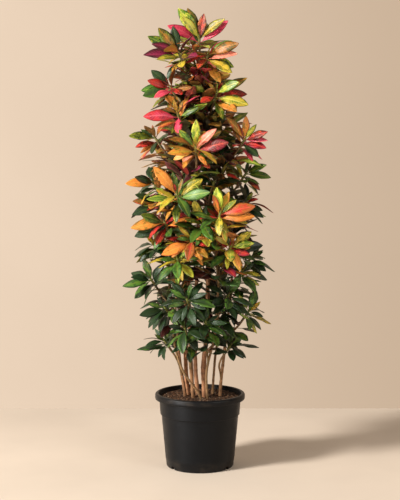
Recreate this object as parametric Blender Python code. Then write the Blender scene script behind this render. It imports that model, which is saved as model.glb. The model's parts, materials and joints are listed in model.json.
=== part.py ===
"""Potted croton: a tall bush of woody stems and leaf whorls, planted in a round nursery pot.

The frame has its origin at the centre of the pot's foot, on the floor, with +Z up and the bush's
show side facing -Y. Each stem is one grown piece with its side branches, and each leaf whorl is one
grown piece: a shoot tip with its leaves.
"""

import math
import random

import bpy
import numpy as np
from mathutils import Matrix, Vector
from mathutils.bvhtree import BVHTree

# Pot
RIM_RADIUS = 0.175
RIM_BOTTOM = 0.261
RIM_SKIN = 0.0035
POT_HEIGHT = 0.284
FOOT_RADIUS = 0.128
FOOT_INNER_RADIUS = 0.1215
WALL = 0.0025
WALL_PROFILE = ((0.003, 0.1312), (0.200, 0.1500), (0.203, 0.1545), (RIM_BOTTOM, 0.1585))
TURN_STEPS = 36
FLOOR_UNDERSIDE = 0.006
FLOOR_TOP = 0.009
DRAIN_BEARINGS = (-142.0, -38.0, 38.0, 142.0)
DRAIN_WIDTH = 0.017
DRAIN_TOP = 0.013
DRAIN_REACH = (0.110, 0.142)

# Soil
SOIL_TOP = 0.267
SOIL_SWELL = 0.0020
GAP = 0.0003

# Stems
TUBE_SIDES = 6
STEM_STEP = 0.09
STEM_TIP_RADIUS = 0.0038
BRANCH_TIP_RADIUS = 0.0036
BRANCH_SHARE = 0.72
TWIG_NECK = 0.014
BURIED_DEPTH = 0.06
STEM_CLEARANCE = 0.0025
BEAD_STEP = 0.006
FORK_DROPS = (0.13, 0.17, 0.22, 0.10, 0.28, 0.35, 0.43)

# Leaf whorls
CORE_SIDES = 6
CORE_LEVELS = 4
CORE_RADII = (0.0036, 0.0044, 0.0046, 0.0042, 0.0032)
CORE_BEAD_RADIUS = 0.0055
CORE_BELOW = 0.036
CORE_ABOVE = 0.026
BUD_HEIGHT = 0.011
LEAF_LENGTH = 0.108
LEAF_LIMITS = (0.05, 0.14)
FRONT_LIMIT = -0.280
LOWEST_TIP = 0.425
LEAF_COUNT = 18
LEAF_HALF_WIDTH = 0.175
LEAF_SWAY = 0.6
PETIOLE_END = 0.14
PETIOLE_HALF_WIDTH = 0.0015
WIDEST_AT = 0.57
KEEL = 0.0016
ARCH = 0.07
LEAF_CLEARANCE = 0.0008
ROOT_SHARE = 0.93
ROOT_LIFT = 0.0003
GOLDEN_ANGLE = math.radians(137.508)

# How a leaf may shift to find room. A show leaf: turn in degrees, share of its forward reach, share
# of its length. Another leaf: turn in radians, how much more it opens, share of its length.
SHOW_SHIFTS = ((0, 1, 1), (0, 0.4, 1), (6, 1.5, 1), (-6, 1, 1), (8, 0.6, 0.92), (-9, 1.6, 0.95),
               (0, -0.5, 1), (14, 1, 0.9), (-15, 0.5, 0.9))
OTHER_SHIFTS = ((0, 0, 1), (0.3, 0, 1), (-0.3, 0.1, 1), (0.15, -0.25, 0.95), (-0.15, 0.3, 0.85),
                (0.5, 0.1, 0.8), (-0.5, -0.1, 0.72))

# Leaf tints: letter -> colour
TINTS = {
    "L": (0.55, 0.62, 0.06),
    "Y": (0.62, 0.50, 0.05),
    "O": (0.75, 0.28, 0.04),
    "B": (0.36, 0.15, 0.03),
    "R": (0.50, 0.03, 0.02),
    "P": (0.70, 0.06, 0.12),
    "S": (0.85, 0.30, 0.22),
    "M": (0.25, 0.02, 0.05),
    "G": (0.09, 0.26, 0.03),
    "K": (0.02, 0.05, 0.015),
}

# Stems: letter -> foot x, foot y, foot radius, points that the stem passes on its way up
STEMS = {
    "A": (-0.059, 0.002, 0.0068, ((-0.088, 0.006, 0.47), (-0.130, 0.015, 0.86))),
    "B": (-0.028, -0.024, 0.0064, ((-0.040, -0.036, 0.42), (-0.074, -0.050, 0.60), (-0.088, -0.065, 0.91))),
    "C": (0.000, -0.054, 0.0046,
          ((-0.066, -0.086, 0.385), (-0.098, -0.100, 0.50), (-0.085, -0.115, 0.70), (-0.058, -0.116, 0.91))),
    "D": (-0.048, 0.028, 0.0084, ((-0.058, 0.024, 0.46), (-0.052, 0.008, 0.91), (-0.038, 0.006, 1.26))),
    "E": (-0.010, 0.020, 0.0080, ((-0.020, 0.028, 0.46), (-0.008, 0.020, 0.91), (-0.004, 0.014, 1.33))),
    "F": (0.017, -0.018, 0.0094,
          ((0.013, -0.022, 0.40), (0.030, -0.030, 0.52), (0.026, -0.034, 0.91), (0.012, -0.033, 1.26))),
    "G": (0.078, 0.004, 0.0062, ((0.088, 0.008, 0.38), (0.104, 0.028, 0.52), (0.128, 0.028, 0.81))),
    "H": (0.050, 0.044, 0.0048,
          ((0.058, 0.036, 0.40), (0.070, 0.004, 0.54), (0.075, -0.012, 0.91), (0.066, -0.030, 1.16))),
    "L": (0.027, -0.040, 0.0052, ((0.026, -0.058, 0.38), (0.052, -0.080, 0.50), (0.068, -0.125, 0.73))),
    "I": (-0.030, 0.066, 0.0074, ((-0.040, 0.080, 0.51), (-0.046, 0.088, 0.91), (-0.038, 0.085, 1.31))),
    "J": (0.016, 0.066, 0.0074, ((0.022, 0.085, 0.51), (0.036, 0.100, 0.91), (0.030, 0.108, 1.21))),
}

# Leaf whorls, from the top down: x, y, z of the middle, the stem that bears it, how far it leans
# outward in degrees, and its show leaves. A show leaf is its tint, the direction that it points in
# as seen from the front (0 to the right, 90 up) and how far its tip stands from the middle, in mm.
# A whorl with tints alone has no show leaves, and its other leaves take those tints.
WHORLS = (
    (-0.002, -0.020, 1.626, "E", 8, "L120/150 B110/140 R80/110 Y50/135 P35/135 P140/150 L135/120 L110/80"),
    (-0.027, 0.080, 1.612, "I", 22, "P L G R"),
    (-0.072, -0.060, 1.567, "D", 30,
     "B130/135 G150/145 M155/115 M190/155 K105/120 Y200/90 L240/70 O145/50"),
    (0.026, -0.060, 1.559, "F", 20, "L35/115 R50/90 B25/130 S10/115 S5/155 G345/105 Y330/110 O300/105"),
    (0.020, 0.120, 1.476, "J", 35, "P G L B"),
    (-0.102, -0.050, 1.441, "B", 35, "R160/100 G180/120 K190/115 P210/75 K135/115 Y125/40 B300/65 B10/75"),
    (0.057, -0.060, 1.417, "H", 25, "B30/140 L25/100 R5/120 L350/125 O335/105 P330/95 Y115/60"),
    (-0.072, 0.140, 1.352, "I", 40, "R G O B"),
    (-0.078, -0.130, 1.336, "C", 30, "O140/60 O100/65 B70/60 P180/125 G25/80 L245/65"),
    (0.100, 0.130, 1.311, "J", 40, "O L G R"),
    (0.050, 0.030, 1.291, "E", 25, "B K G O"),
    (-0.161, -0.020, 1.254, "A", 35, "G170/110 K145/80 B110/65 R195/85 B215/80"),
    (0.159, -0.050, 1.245, "H", 35, "O80/105 O120/115 B125/70 L55/90 R25/105 P5/95 R350/90 K320/80"),
    (-0.015, -0.200, 1.207, "C", 40,
     "L90/115 G130/100 Y185/100 R15/120 B40/120 L5/160 Y355/165 O310/65 S55/115"),
    (-0.112, 0.130, 1.160, "I", 40, "O G K R"),
    (0.088, 0.150, 1.145, "J", 40, "L O G K"),
    (0.165, -0.020, 1.117, "G", 35, "G30/100 K70/60 G0/105 R325/80 G335/65 Y120/55"),
    (0.049, -0.080, 1.085, "F", 30, "K G B K"),
    (-0.164, -0.050, 1.078, "A", 35, "O170/115 K150/90 K200/65 G135/85"),
    (-0.080, -0.200, 1.036, "B", 35, "O125/145 O125/105 G100/100 B75/75 Y40/115 G10/120 R325/50 G140/100"),
    (0.164, -0.040, 1.010, "G", 35, "R25/60 K345/75 K330/90 G50/60"),
    (-0.154, -0.020, 1.009, "A", 40, "K155/100 B170/105 R180/125 R195/50 K190/120"),
    (-0.088, 0.140, 0.969, "I", 40, "K O G B"),
    (0.101, 0.150, 0.968, "J", 40, "Y G K R"),
    (0.069, -0.200, 0.963, "L", 30, "L95/115 O115/95 Y70/105 G50/95 R20/140 O5/130 Y305/60 K350/80"),
    (-0.123, -0.130, 0.932, "B", 35, "G155/105 O180/135 K195/125 R240/75 O20/95 G230/105"),
    (0.011, -0.160, 0.929, "C", 30, "Y110/110 K80/85 O350/60 G250/70 G145/75"),
    (-0.026, -0.180, 0.874, "C", 35, "Y130/85 O200/120 O20/60 R350/60 G240/60 G165/60"),
    (-0.166, -0.020, 0.848, "A", 35, "G205/75 K220/85 Y120/60"),
    (-0.060, 0.150, 0.844, "I", 40, "G K Y K"),
    (0.108, -0.150, 0.843, "L", 35,
     "Y130/85 G110/80 Y40/110 L20/95 O10/80 K10/130 R355/75 Y260/65 O315/70"),
    (0.060, 0.150, 0.803, "J", 40, "K G K O"),
    (-0.078, -0.150, 0.799, "C", 40, "Y120/65 L50/60 Y20/70 Y280/65 G165/70"),
    (0.187, 0.020, 0.791, "G", 35, "G35/70 K355/65 K335/75 G315/75"),
    (0.152, -0.080, 0.745, "H", 35, "Y5/75 L335/80 K45/70 K145/65"),
    (-0.176, -0.040, 0.711, "B", 35, "G110/105 K160/90 G185/120 K215/90 K65/90"),
    (-0.101, 0.140, 0.671, "I", 40, "K G K"),
    (-0.044, -0.180, 0.653, "C", 45, "G140/85 G185/70 G80/75 K30/80 K345/70 K250/65"),
    (0.098, -0.100, 0.655, "H", 35, "K85/90 G60/115 K145/70 K325/70 K225/70"),
    (0.060, 0.140, 0.646, "J", 40, "K K G"),
    (-0.121, -0.090, 0.609, "B", 40, "K185/105 G155/85 K205/80 K125/70 G320/60"),
    (0.176, -0.060, 0.594, "F", 35, "L110/90 Y45/75 K315/80 K355/65 K150/80 G65/75"),
    (0.019, -0.150, 0.563, "L", 40, "G80/75 G340/70 G235/60 K165/70 K40/65 K10/80"),
    (-0.052, -0.140, 0.539, "B", 40, "K155/70 G65/80 K245/70 K305/75 G105/65"),
    (-0.127, -0.050, 0.480, "A", 35, "K180/80 G130/60 K235/55 K130/75"),
    (0.107, -0.050, 0.461, "G", 35, "K30/60 K325/75 K125/75 K190/60 G235/55"),
)


# ---------------------------------------------------------------- meshes and materials


def new_object(name, verts, faces):
    mesh = bpy.data.meshes.new(name)
    mesh.from_pydata([tuple(v) for v in verts], [], faces)
    mesh.validate()
    mesh.update()
    obj = bpy.data.objects.new(name, mesh)
    bpy.context.scene.collection.objects.link(obj)
    return obj


def material(name, colour, roughness, metallic=0.0):
    mat = bpy.data.materials.get(name)
    if mat is None:
        mat = bpy.data.materials.new(name)
        mat.use_nodes = True
        mat.diffuse_color = (*colour, 1.0)
        shader = mat.node_tree.nodes["Principled BSDF"]
        shader.inputs["Base Color"].default_value = (*colour, 1.0)
        shader.inputs["Roughness"].default_value = roughness
        shader.inputs["Metallic"].default_value = metallic
    return mat


def boolean(target, tool, operation):
    """Joins tool to target, or cuts it away, and removes tool."""
    modifier = target.modifiers.new(operation.lower(), "BOOLEAN")
    modifier.operation = operation
    modifier.object = tool
    modifier.solver = "EXACT"
    graph = bpy.context.evaluated_depsgraph_get()
    result = bpy.data.meshes.new_from_object(target.evaluated_get(graph))
    target.modifiers.clear()
    target.data = result
    bpy.data.objects.remove(tool)


def turned(name, profile, steps=TURN_STEPS):
    """A body turned about Z. The profile is closed, and runs with the solid on its left: (radius, z)."""
    verts, rings = [], []
    for radius, z in profile:
        if radius == 0.0:
            rings.append([len(verts)] * steps)
            verts.append((0.0, 0.0, z))
            continue
        rings.append([len(verts) + i for i in range(steps)])
        for i in range(steps):
            angle = math.tau * i / steps
            verts.append((radius * math.cos(angle), radius * math.sin(angle), z))
    faces = []
    for low, high in zip(rings, rings[1:] + rings[:1]):
        for i in range(steps):
            j = (i + 1) % steps
            corners = dict.fromkeys((low[i], low[j], high[j], high[i]))
            if len(corners) > 2:
                faces.append(list(corners))
    return new_object(name, verts, faces)


def ring_frame(direction, previous):
    """Two unit vectors square to direction, the first as near as can be to previous."""
    first = previous - direction * previous.dot(direction)
    first.normalize()
    return first, direction.cross(first)


def tube_data(path, radii, sides=TUBE_SIDES):
    """Vertices and faces of a closed tube along a path."""
    verts, faces = [], []
    side = Vector((1.0, 0.0, 0.0))
    last = len(path) - 1
    for i, (centre, radius) in enumerate(zip(path, radii)):
        direction = (path[min(i + 1, last)] - path[max(i - 1, 0)]).normalized()
        side, other = ring_frame(direction, side)
        for k in range(sides):
            angle = math.tau * k / sides
            verts.append(centre + radius * (math.cos(angle) * side + math.sin(angle) * other))
    for i in range(last):
        for k in range(sides):
            a, b = i * sides + k, i * sides + (k + 1) % sides
            faces.append([a, b, b + sides, a + sides])
    faces.append(list(range(sides))[::-1])
    faces.append([last * sides + k for k in range(sides)])
    return verts, faces


# ---------------------------------------------------------------- how the bush grows


class Whorl:
    """A shoot tip: where it stands, which way it leans and the leaves that it should bear."""

    def __init__(self, number, row):
        x, y, z, self.stem, lean, leaves = row
        self.name = f"leaf_whorl_{number:02d}"
        self.number = number
        self.middle = Vector((x, y, z))
        tilt = math.radians(lean)
        outward = Vector((x, y, 0.0)).normalized()
        self.axis = (outward * math.sin(tilt) + Vector((0.0, 0.0, math.cos(tilt)))).normalized()
        self.side, self.other = ring_frame(self.axis, Vector((1.0, 0.0, 0.0)))
        self.foot = self.middle - self.axis * CORE_BELOW
        words = leaves.split()
        self.tints = [word[0] for word in words]
        self.show = [(w[0], *map(float, w[1:].split("/"))) for w in words if "/" in w]
        self.leaves = []
        self.twig = None
        self.free = {(level, s) for level in range(1, CORE_LEVELS) for s in range(CORE_SIDES)}

    def ring_centre(self, level):
        return self.foot + self.axis * ((CORE_BELOW + CORE_ABOVE) * level / CORE_LEVELS)

    def corner(self, level, s):
        angle = math.tau * s / CORE_SIDES
        spoke = math.cos(angle) * self.side + math.sin(angle) * self.other
        return self.ring_centre(level) + CORE_RADII[level] * spoke

    def nearest_face(self, direction, level):
        """The free face of the core that best looks in this direction, near this level."""
        def misfit(place):
            angle = math.tau * (place[1] + 0.5) / CORE_SIDES
            spoke = math.cos(angle) * self.side + math.sin(angle) * self.other
            return 0.6 * abs(place[0] - level) - direction.dot(spoke)
        return min(sorted(self.free), key=misfit) if self.free else None


class Leaf:
    """One leaf: the face that it grows from, its tip, its tint and where its upper side looks."""

    def __init__(self, whorl, place, tip, tint, looks):
        self.place = place
        level, s = place
        self.corners = [whorl.corner(level, s), whorl.corner(level, s + 1),
                        whorl.corner(level + 1, s + 1), whorl.corner(level + 1, s)]
        self.root = sum(self.corners, Vector()) / 4
        self.spread(tip, tint, looks, whorl.ring_centre(level) - self.corners[0])
        edges = [self.corners[k - 3] - self.corners[k] for k in range(4)]
        fits = [edge.normalized().dot(self.across) for edge in edges]
        self.turn = fits.index(max(fits))
        self.corners = self.corners[self.turn:] + self.corners[:self.turn]

    def spread(self, tip, tint, looks, spare):
        """Lays the leaf from its root to its tip. Spare is used where looks runs along the leaf."""
        self.tip = tip
        self.tint = tint
        self.length = (tip - self.root).length
        self.along = (tip - self.root).normalized()
        if abs(self.along.dot(looks.normalized())) > 0.97:
            looks = spare
        self.across = looks.cross(self.along).normalized()
        self.up = self.along.cross(self.across)

    def section(self, share, half_width, keel, grow=0.0):
        """Keel, right and left point of the leaf, a share of the way to its tip."""
        lift = ARCH * self.length * math.sin(math.pi * share) ** 1.5
        centre = self.root + self.along * (self.length * share) + self.up * (lift + grow / 2)
        spread = self.across * (half_width + grow)
        return [centre - self.up * (keel + grow), centre + spread, centre - spread]

    def sections(self, grow=0.0):
        blade = LEAF_HALF_WIDTH * self.length
        return [
            self.section(PETIOLE_END, PETIOLE_HALF_WIDTH, KEEL, grow),
            self.section(WIDEST_AT, blade, KEEL, grow),
        ]

    def probe(self):
        """A slightly swollen copy of the leaf, just off its root's face, to test its clearance."""
        a, b, c, _ = self.corners
        lift = (b - a).cross(c - b).normalized() * ROOT_LIFT
        verts = [self.root.lerp(corner, ROOT_SHARE) + lift for corner in self.corners]
        verts += [point for station in self.sections(LEAF_CLEARANCE) for point in station]
        verts.append(self.tip + self.along * LEAF_CLEARANCE)
        return BVHTree.FromPolygons(verts, leaf_faces([0, 1, 2, 3], 4))


def leaf_faces(root, first):
    """The faces of a leaf on a root of four corners. Its own seven points start at number first."""
    a, b, c, d = root
    k, r, l, k2, r2, l2, tip = range(first, first + 7)
    return [
        [a, b, k], [b, c, r, k], [c, d, l, r], [d, a, k, l],
        [k, r, r2, k2], [r, l, l2, r2], [l, k, k2, l2],
        [k2, r2, tip], [r2, l2, tip], [l2, k2, tip],
    ]


def spline(points, step):
    """Evenly spaced points on a Catmull-Rom curve through points."""
    ends = [points[0] * 2 - points[1]] + list(points) + [points[-1] * 2 - points[-2]]
    path = []
    for i in range(1, len(ends) - 2):
        p0, p1, p2, p3 = ends[i - 1 : i + 3]
        count = max(1, round((p2 - p1).length / step))
        for k in range(count):
            t = k / count
            path.append(
                0.5 * (2 * p1 + (p2 - p0) * t + (2 * p0 - 5 * p1 + 4 * p2 - p3) * t * t
                       + (3 * p1 - p0 - 3 * p2 + p3) * t ** 3)
            )
    return path + [points[-1]]


def bezier(p0, p1, p2, p3, step):
    count = max(3, round((p3 - p0).length / step))
    path = []
    for k in range(count + 1):
        t = k / count
        u = 1 - t
        path.append(u ** 3 * p0 + 3 * u * u * t * p1 + 3 * u * t * t * p2 + t ** 3 * p3)
    return path


def stem_spine(letter, leader, step):
    """Centre line and radii of a stem, from its buried end to the foot of its top whorl."""
    x, y, foot_radius, passes = STEMS[letter]
    buried = Vector((x, y, SOIL_TOP - BURIED_DEPTH))
    surface = Vector((x, y, SOIL_TOP + 0.012))
    neck = leader.foot - leader.axis * TWIG_NECK
    points = [surface] + [Vector(p) for p in passes] + [neck - leader.axis * 0.06, neck]
    path = [buried] + spline(points, step) + [leader.foot - leader.axis * (GAP * 2)]
    top = len(path) - 1
    shares = [max(0.0, 1 - i / top) ** 0.8 for i in range(top + 1)]
    radii = [STEM_TIP_RADIUS + (foot_radius - STEM_TIP_RADIUS) * s for s in shares]
    radii[0] = radii[1] = foot_radius
    return path, radii


def fork(path, radii, whorl, drop):
    """The point of a spine that lies this far below the whorl, its direction and its radius."""
    height = whorl.foot.z - drop
    for i in range(1, len(path) - 1):
        low, high = path[i], path[i + 1]
        if low.z <= height < high.z:
            t = (height - low.z) / (high.z - low.z)
            return low.lerp(high, t), (high - low).normalized(), radii[i]
    return None


def branch_spine(path, radii, whorl, drop, step):
    """Centre line and radii of a side branch that leaves a stem and ends under a whorl."""
    found = fork(path, radii, whorl, drop)
    if found is None or found[0].z < SOIL_TOP + 0.06:
        return None
    start, direction, radius = found
    neck = whorl.foot - whorl.axis * TWIG_NECK
    reach = (neck - start).length
    aim = (direction + (neck - start).normalized()).normalized()
    branch = bezier(start, start + aim * reach * 0.35, neck - whorl.axis * reach * 0.35, neck, step)
    branch.append(whorl.foot - whorl.axis * (GAP * 2))
    top = len(branch) - 1
    thick = max(radius * BRANCH_SHARE, BRANCH_TIP_RADIUS)
    return branch, [thick + (BRANCH_TIP_RADIUS - thick) * i / top for i in range(top + 1)]


class Wood:
    """Beads along all stems, branches and whorl cores, to keep new branches clear of them."""

    def __init__(self):
        self.centres, self.radii, self.owners = [], [], []

    def add(self, path, radii, owner):
        for (p, q), (r, s) in zip(zip(path, path[1:]), zip(radii, radii[1:])):
            count = max(1, round((q - p).length / BEAD_STEP))
            for k in range(count):
                self.centres.append(tuple(p.lerp(q, k / count)))
                self.radii.append(r + (s - r) * k / count)
                self.owners.append(owner)

    def room(self, path, radii, owner, own_core):
        """The least space between a branch and all wood that isn't of the same stem."""
        others = np.array([o not in (owner, own_core) for o in self.owners])
        centres = np.array(self.centres)[others]
        widths = np.array(self.radii)[others]
        least = 1.0
        for point, radius in zip(path, radii):
            gaps = np.linalg.norm(centres - np.array(point), axis=1) - widths - radius
            least = min(least, float(gaps.min()))
        return least


def grow_stems(whorls, step):
    """Every stem as a list of (path, radii): its main line, then its branches."""
    wood = Wood()
    for whorl in whorls:
        tip = whorl.foot + whorl.axis * (CORE_BELOW + CORE_ABOVE + BUD_HEIGHT)
        wood.add([whorl.foot, tip], [CORE_BEAD_RADIUS] * 2, whorl.name)
    stems = {}
    for letter in STEMS:
        leader = max((w for w in whorls if w.stem == letter), key=lambda w: w.middle.z)
        path, radii = stem_spine(letter, leader, step)
        stems[letter] = [(path, radii)]
        wood.add(path, radii, letter)
        leader.twig = letter, 0
    for whorl in whorls:
        if whorl.twig:
            continue
        path, radii = stems[whorl.stem][0]
        choices = []
        for drop in FORK_DROPS:
            branch = branch_spine(path, radii, whorl, drop, step * 0.6)
            if branch is not None:
                beads = branch_spine(path, radii, whorl, drop, BEAD_STEP)
                room = wood.room(*beads, whorl.stem, whorl.name)
                choices.append((min(room, STEM_CLEARANCE), branch))
        room, branch = max(choices, key=lambda choice: choice[0])
        whorl.twig = whorl.stem, len(stems[whorl.stem])
        stems[whorl.stem].append(branch)
        wood.add(*branch, whorl.stem)
    return stems


class Canopy:
    """The leaves placed so far, and the wood that they keep clear of."""

    def __init__(self, whorls, stems):
        self.placed = []
        self.wood = {}
        for letter, spines in stems.items():
            for i, (path, radii) in enumerate(spines):
                tube = tube_data(path, [r + LEAF_CLEARANCE for r in radii])
                self.wood[letter, i] = BVHTree.FromPolygons(*tube)
        for whorl in whorls:
            self.wood[whorl.name] = BVHTree.FromPolygons(*core_data(whorl))

    def clear(self, leaf, whorl):
        """Whether a leaf of this whorl has room. If it has, it is kept."""
        probe = leaf.probe()
        middle = leaf.root.lerp(leaf.tip, 0.5)
        if any(probe.overlap(tree) for tree in self.wood.values()):
            return False
        for other, other_middle, reach in self.placed:
            if (middle - other_middle).length < reach + leaf.length * 0.55 and probe.overlap(other):
                return False
        if tangled(*whorl_data(whorl, whorl.leaves + [leaf])):
            return False
        self.placed.append((probe, middle, leaf.length * 0.55))
        return True


def core_data(whorl):
    verts = [whorl.corner(k, s) for k in range(CORE_LEVELS + 1) for s in range(CORE_SIDES)]
    top = whorl.ring_centre(CORE_LEVELS) + whorl.axis * BUD_HEIGHT
    verts.append(top)
    apex = len(verts) - 1
    faces = [list(range(CORE_SIDES))[::-1]]
    last = CORE_LEVELS * CORE_SIDES
    for s in range(CORE_SIDES):
        faces.append([last + s, last + (s + 1) % CORE_SIDES, apex])
    for level in range(CORE_LEVELS):
        for s in range(CORE_SIDES):
            faces.append(face_corners(level, s))
    return verts, faces


def whorl_data(whorl, leaves):
    """Vertices and triangles of a core with leaves, each grown out of one face of the core."""
    verts, faces = core_data(whorl)
    for leaf in leaves:
        root = face_corners(*leaf.place)
        faces.remove(root)
        faces += leaf_faces(root[leaf.turn:] + root[:leaf.turn], len(verts))
        verts += [point for station in leaf.sections() for point in station] + [leaf.tip]
    return verts, [[face[0], *face[i : i + 2]] for face in faces for i in range(1, len(face) - 1)]


def tangled(verts, triangles):
    """Whether a mesh crosses itself."""
    tree = BVHTree.FromPolygons(verts, triangles)
    pairs = ((triangles[a], triangles[b]) for a, b in tree.overlap(tree) if a < b)
    return any(not set(one) & set(other) for one, other in pairs)


def face_corners(level, s):
    low, high = level * CORE_SIDES, (level + 1) * CORE_SIDES
    nxt = (s + 1) % CORE_SIDES
    return [low + s, low + nxt, high + nxt, high + s]


def level_for(whorl, direction):
    """Leaves that stand up grow high on the core, and those that hang grow low."""
    rise = direction.dot(whorl.axis)
    return min(CORE_LEVELS - 1, max(1, round(1.9 + 1.3 * rise)))


def try_leaf(canopy, whorl, tip, tint, looks):
    direction = (tip - whorl.middle).normalized()
    place = whorl.nearest_face(direction, level_for(whorl, direction))
    if place is None:
        return False
    leaf = Leaf(whorl, place, tip, tint, looks)
    shortest, longest = LEAF_LIMITS
    if tip.y < FRONT_LIMIT or tip.z < LOWEST_TIP or not shortest < leaf.length < longest:
        return False
    if not canopy.clear(leaf, whorl):
        return False
    whorl.free.discard(place)
    whorl.leaves.append(leaf)
    return True


def show_tip(whorl, angle, reach, forward):
    """The tip of a show leaf: its place as seen from the front, and how far it comes forward."""
    flat = Vector((math.cos(math.radians(angle)), 0.0, math.sin(math.radians(angle)))) * reach / 1000
    return whorl.middle + flat + Vector((0.0, -forward * reach / 1000, 0.0))


def grow_show_leaves(canopy, whorl):
    """The leaves that turn their upper sides to the front."""
    looks = whorl.axis * 0.6 + Vector((0.0, -0.9, 0.0))
    for tint, angle, reach in whorl.show:
        forward = 0.25 if math.sin(math.radians(angle)) > 0.5 else 0.5
        forward += max(0.0, 0.085 - reach / 1000) * 8
        for turn, ahead, share in SHOW_SHIFTS:
            tip = show_tip(whorl, angle + turn, reach * share, forward * ahead)
            if try_leaf(canopy, whorl, tip, tint, looks):
                break


def grow_other_leaves(canopy, whorl, chance):
    """Fills the whorl up by the golden angle, from its hanging leaves to its young upright ones."""
    wanted = LEAF_COUNT - len(whorl.leaves)
    turns = LEAF_COUNT + 4
    phase = chance.uniform(0, math.tau)
    for i in range(turns):
        if wanted <= 0:
            break
        ripe = 1 - (i + 0.5) / turns
        tint = whorl.tints[chance.randrange(len(whorl.tints))]
        sway = Vector((chance.uniform(-1, 1), chance.uniform(-1, 1), 0.35))
        looks = whorl.axis + sway * LEAF_SWAY
        length = LEAF_LENGTH * (0.78 + 0.3 * math.sin(math.pi * ripe) + chance.uniform(-0.05, 0.05))
        for turn, open_more, share in OTHER_SHIFTS:
            bearing = phase + i * GOLDEN_ANGLE + turn
            opening = math.radians(28 + 85 * ripe) + open_more
            spoke = math.cos(bearing) * whorl.side + math.sin(bearing) * whorl.other
            direction = math.cos(opening) * whorl.axis + math.sin(opening) * spoke
            base = whorl.ring_centre(level_for(whorl, direction) + 0.5)
            if try_leaf(canopy, whorl, base + direction * length * share, tint, looks):
                wanted -= 1
                break


def grow_bush(step):
    """The whorls with their leaves, and the stems, worked out in one fixed order."""
    chance = random.Random(7)
    whorls = [Whorl(i + 1, row) for i, row in enumerate(WHORLS)]
    stems = grow_stems(whorls, step)
    canopy = Canopy(whorls, stems)
    for whorl in whorls:
        grow_show_leaves(canopy, whorl)
    for whorl in whorls:
        grow_other_leaves(canopy, whorl, chance)
    return whorls, stems


# ---------------------------------------------------------------- pieces


def wall_radius(z):
    """Outer radius of the pot's body under the rim, at a height."""
    for (z0, r0), (z1, r1) in zip(WALL_PROFILE, WALL_PROFILE[1:]):
        if z <= z1:
            return r0 + (r1 - r0) * (z - z0) / (z1 - z0)
    return WALL_PROFILE[-1][1]


def build_pot():
    """A tapered pot with a step to its collar, and a rim that rolls over a hollow channel."""
    skirt = RIM_RADIUS - RIM_SKIN
    channel_top = POT_HEIGHT - 0.004
    neck = WALL_PROFILE[-1][1]
    profile = [(0.0, FLOOR_UNDERSIDE), (FOOT_INNER_RADIUS - 0.0025, FLOOR_UNDERSIDE)]
    profile += [(FOOT_INNER_RADIUS, 0.0), (FOOT_RADIUS, 0.0)]
    profile += [(radius, z) for z, radius in WALL_PROFILE]
    profile += [(neck + 0.001, channel_top), (skirt, channel_top), (skirt, RIM_BOTTOM)]
    profile += [(RIM_RADIUS - 0.0010, RIM_BOTTOM), (RIM_RADIUS, RIM_BOTTOM + 0.006)]
    profile += [(RIM_RADIUS - 0.0006, POT_HEIGHT - 0.006), (RIM_RADIUS - 0.0040, POT_HEIGHT - 0.001)]
    profile += [(RIM_RADIUS - 0.0080, POT_HEIGHT), (neck + 0.005, POT_HEIGHT)]
    profile += [(neck + 0.0025, POT_HEIGHT - 0.0025)]
    profile += [(wall_radius(z) - WALL, z) for z in (0.258, 0.202, 0.196, FLOOR_TOP)]
    profile += [(0.0, FLOOR_TOP)]
    pot = turned("pot", profile)
    for bearing in DRAIN_BEARINGS:
        boolean(pot, drain_cutter(bearing), "DIFFERENCE")
    pot.data.materials.append(material("black_plastic", (0.014, 0.015, 0.017), 0.42))


def drain_cutter(bearing):
    """A slot through the foot, the wall and the floor's edge."""
    half, shoulder, below = DRAIN_WIDTH / 2, 0.003, -0.002
    outline = [(-half, below), (half, below)]
    outline += [(half, DRAIN_TOP - shoulder), (half - shoulder, DRAIN_TOP)]
    outline += [(-half + shoulder, DRAIN_TOP), (-half, DRAIN_TOP - shoulder)]
    turn = Matrix.Rotation(math.radians(bearing), 4, "Z")
    verts = [turn @ Vector((r, y, z)) for r in DRAIN_REACH for y, z in outline]
    count = len(outline)
    faces = [[i, (i + 1) % count, (i + 1) % count + count, i + count] for i in range(count)]
    faces += [list(range(count))[::-1], [i + count for i in range(count)]]
    cutter = new_object("drain_cutter", verts, faces)
    return outward(cutter)


def outward(obj):
    """Turns a closed mesh's faces out if they face in."""
    volume = 0.0
    obj.data.calc_loop_triangles()
    for triangle in obj.data.loop_triangles:
        a, b, c = (obj.data.vertices[i].co for i in triangle.vertices)
        volume += a.dot(b.cross(c))
    if volume < 0:
        obj.data.flip_normals()
    return obj


def soil_height(x, y):
    """A slightly uneven surface, level at the wall."""
    share = 1 - math.hypot(x, y) / 0.15
    waves = math.sin(61 * x + 1.0) * math.cos(53 * y) + 0.5 * math.sin(117 * y + 2.0)
    return SOIL_TOP + SOIL_SWELL * max(0.0, share) * (1.2 + waves)


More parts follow.
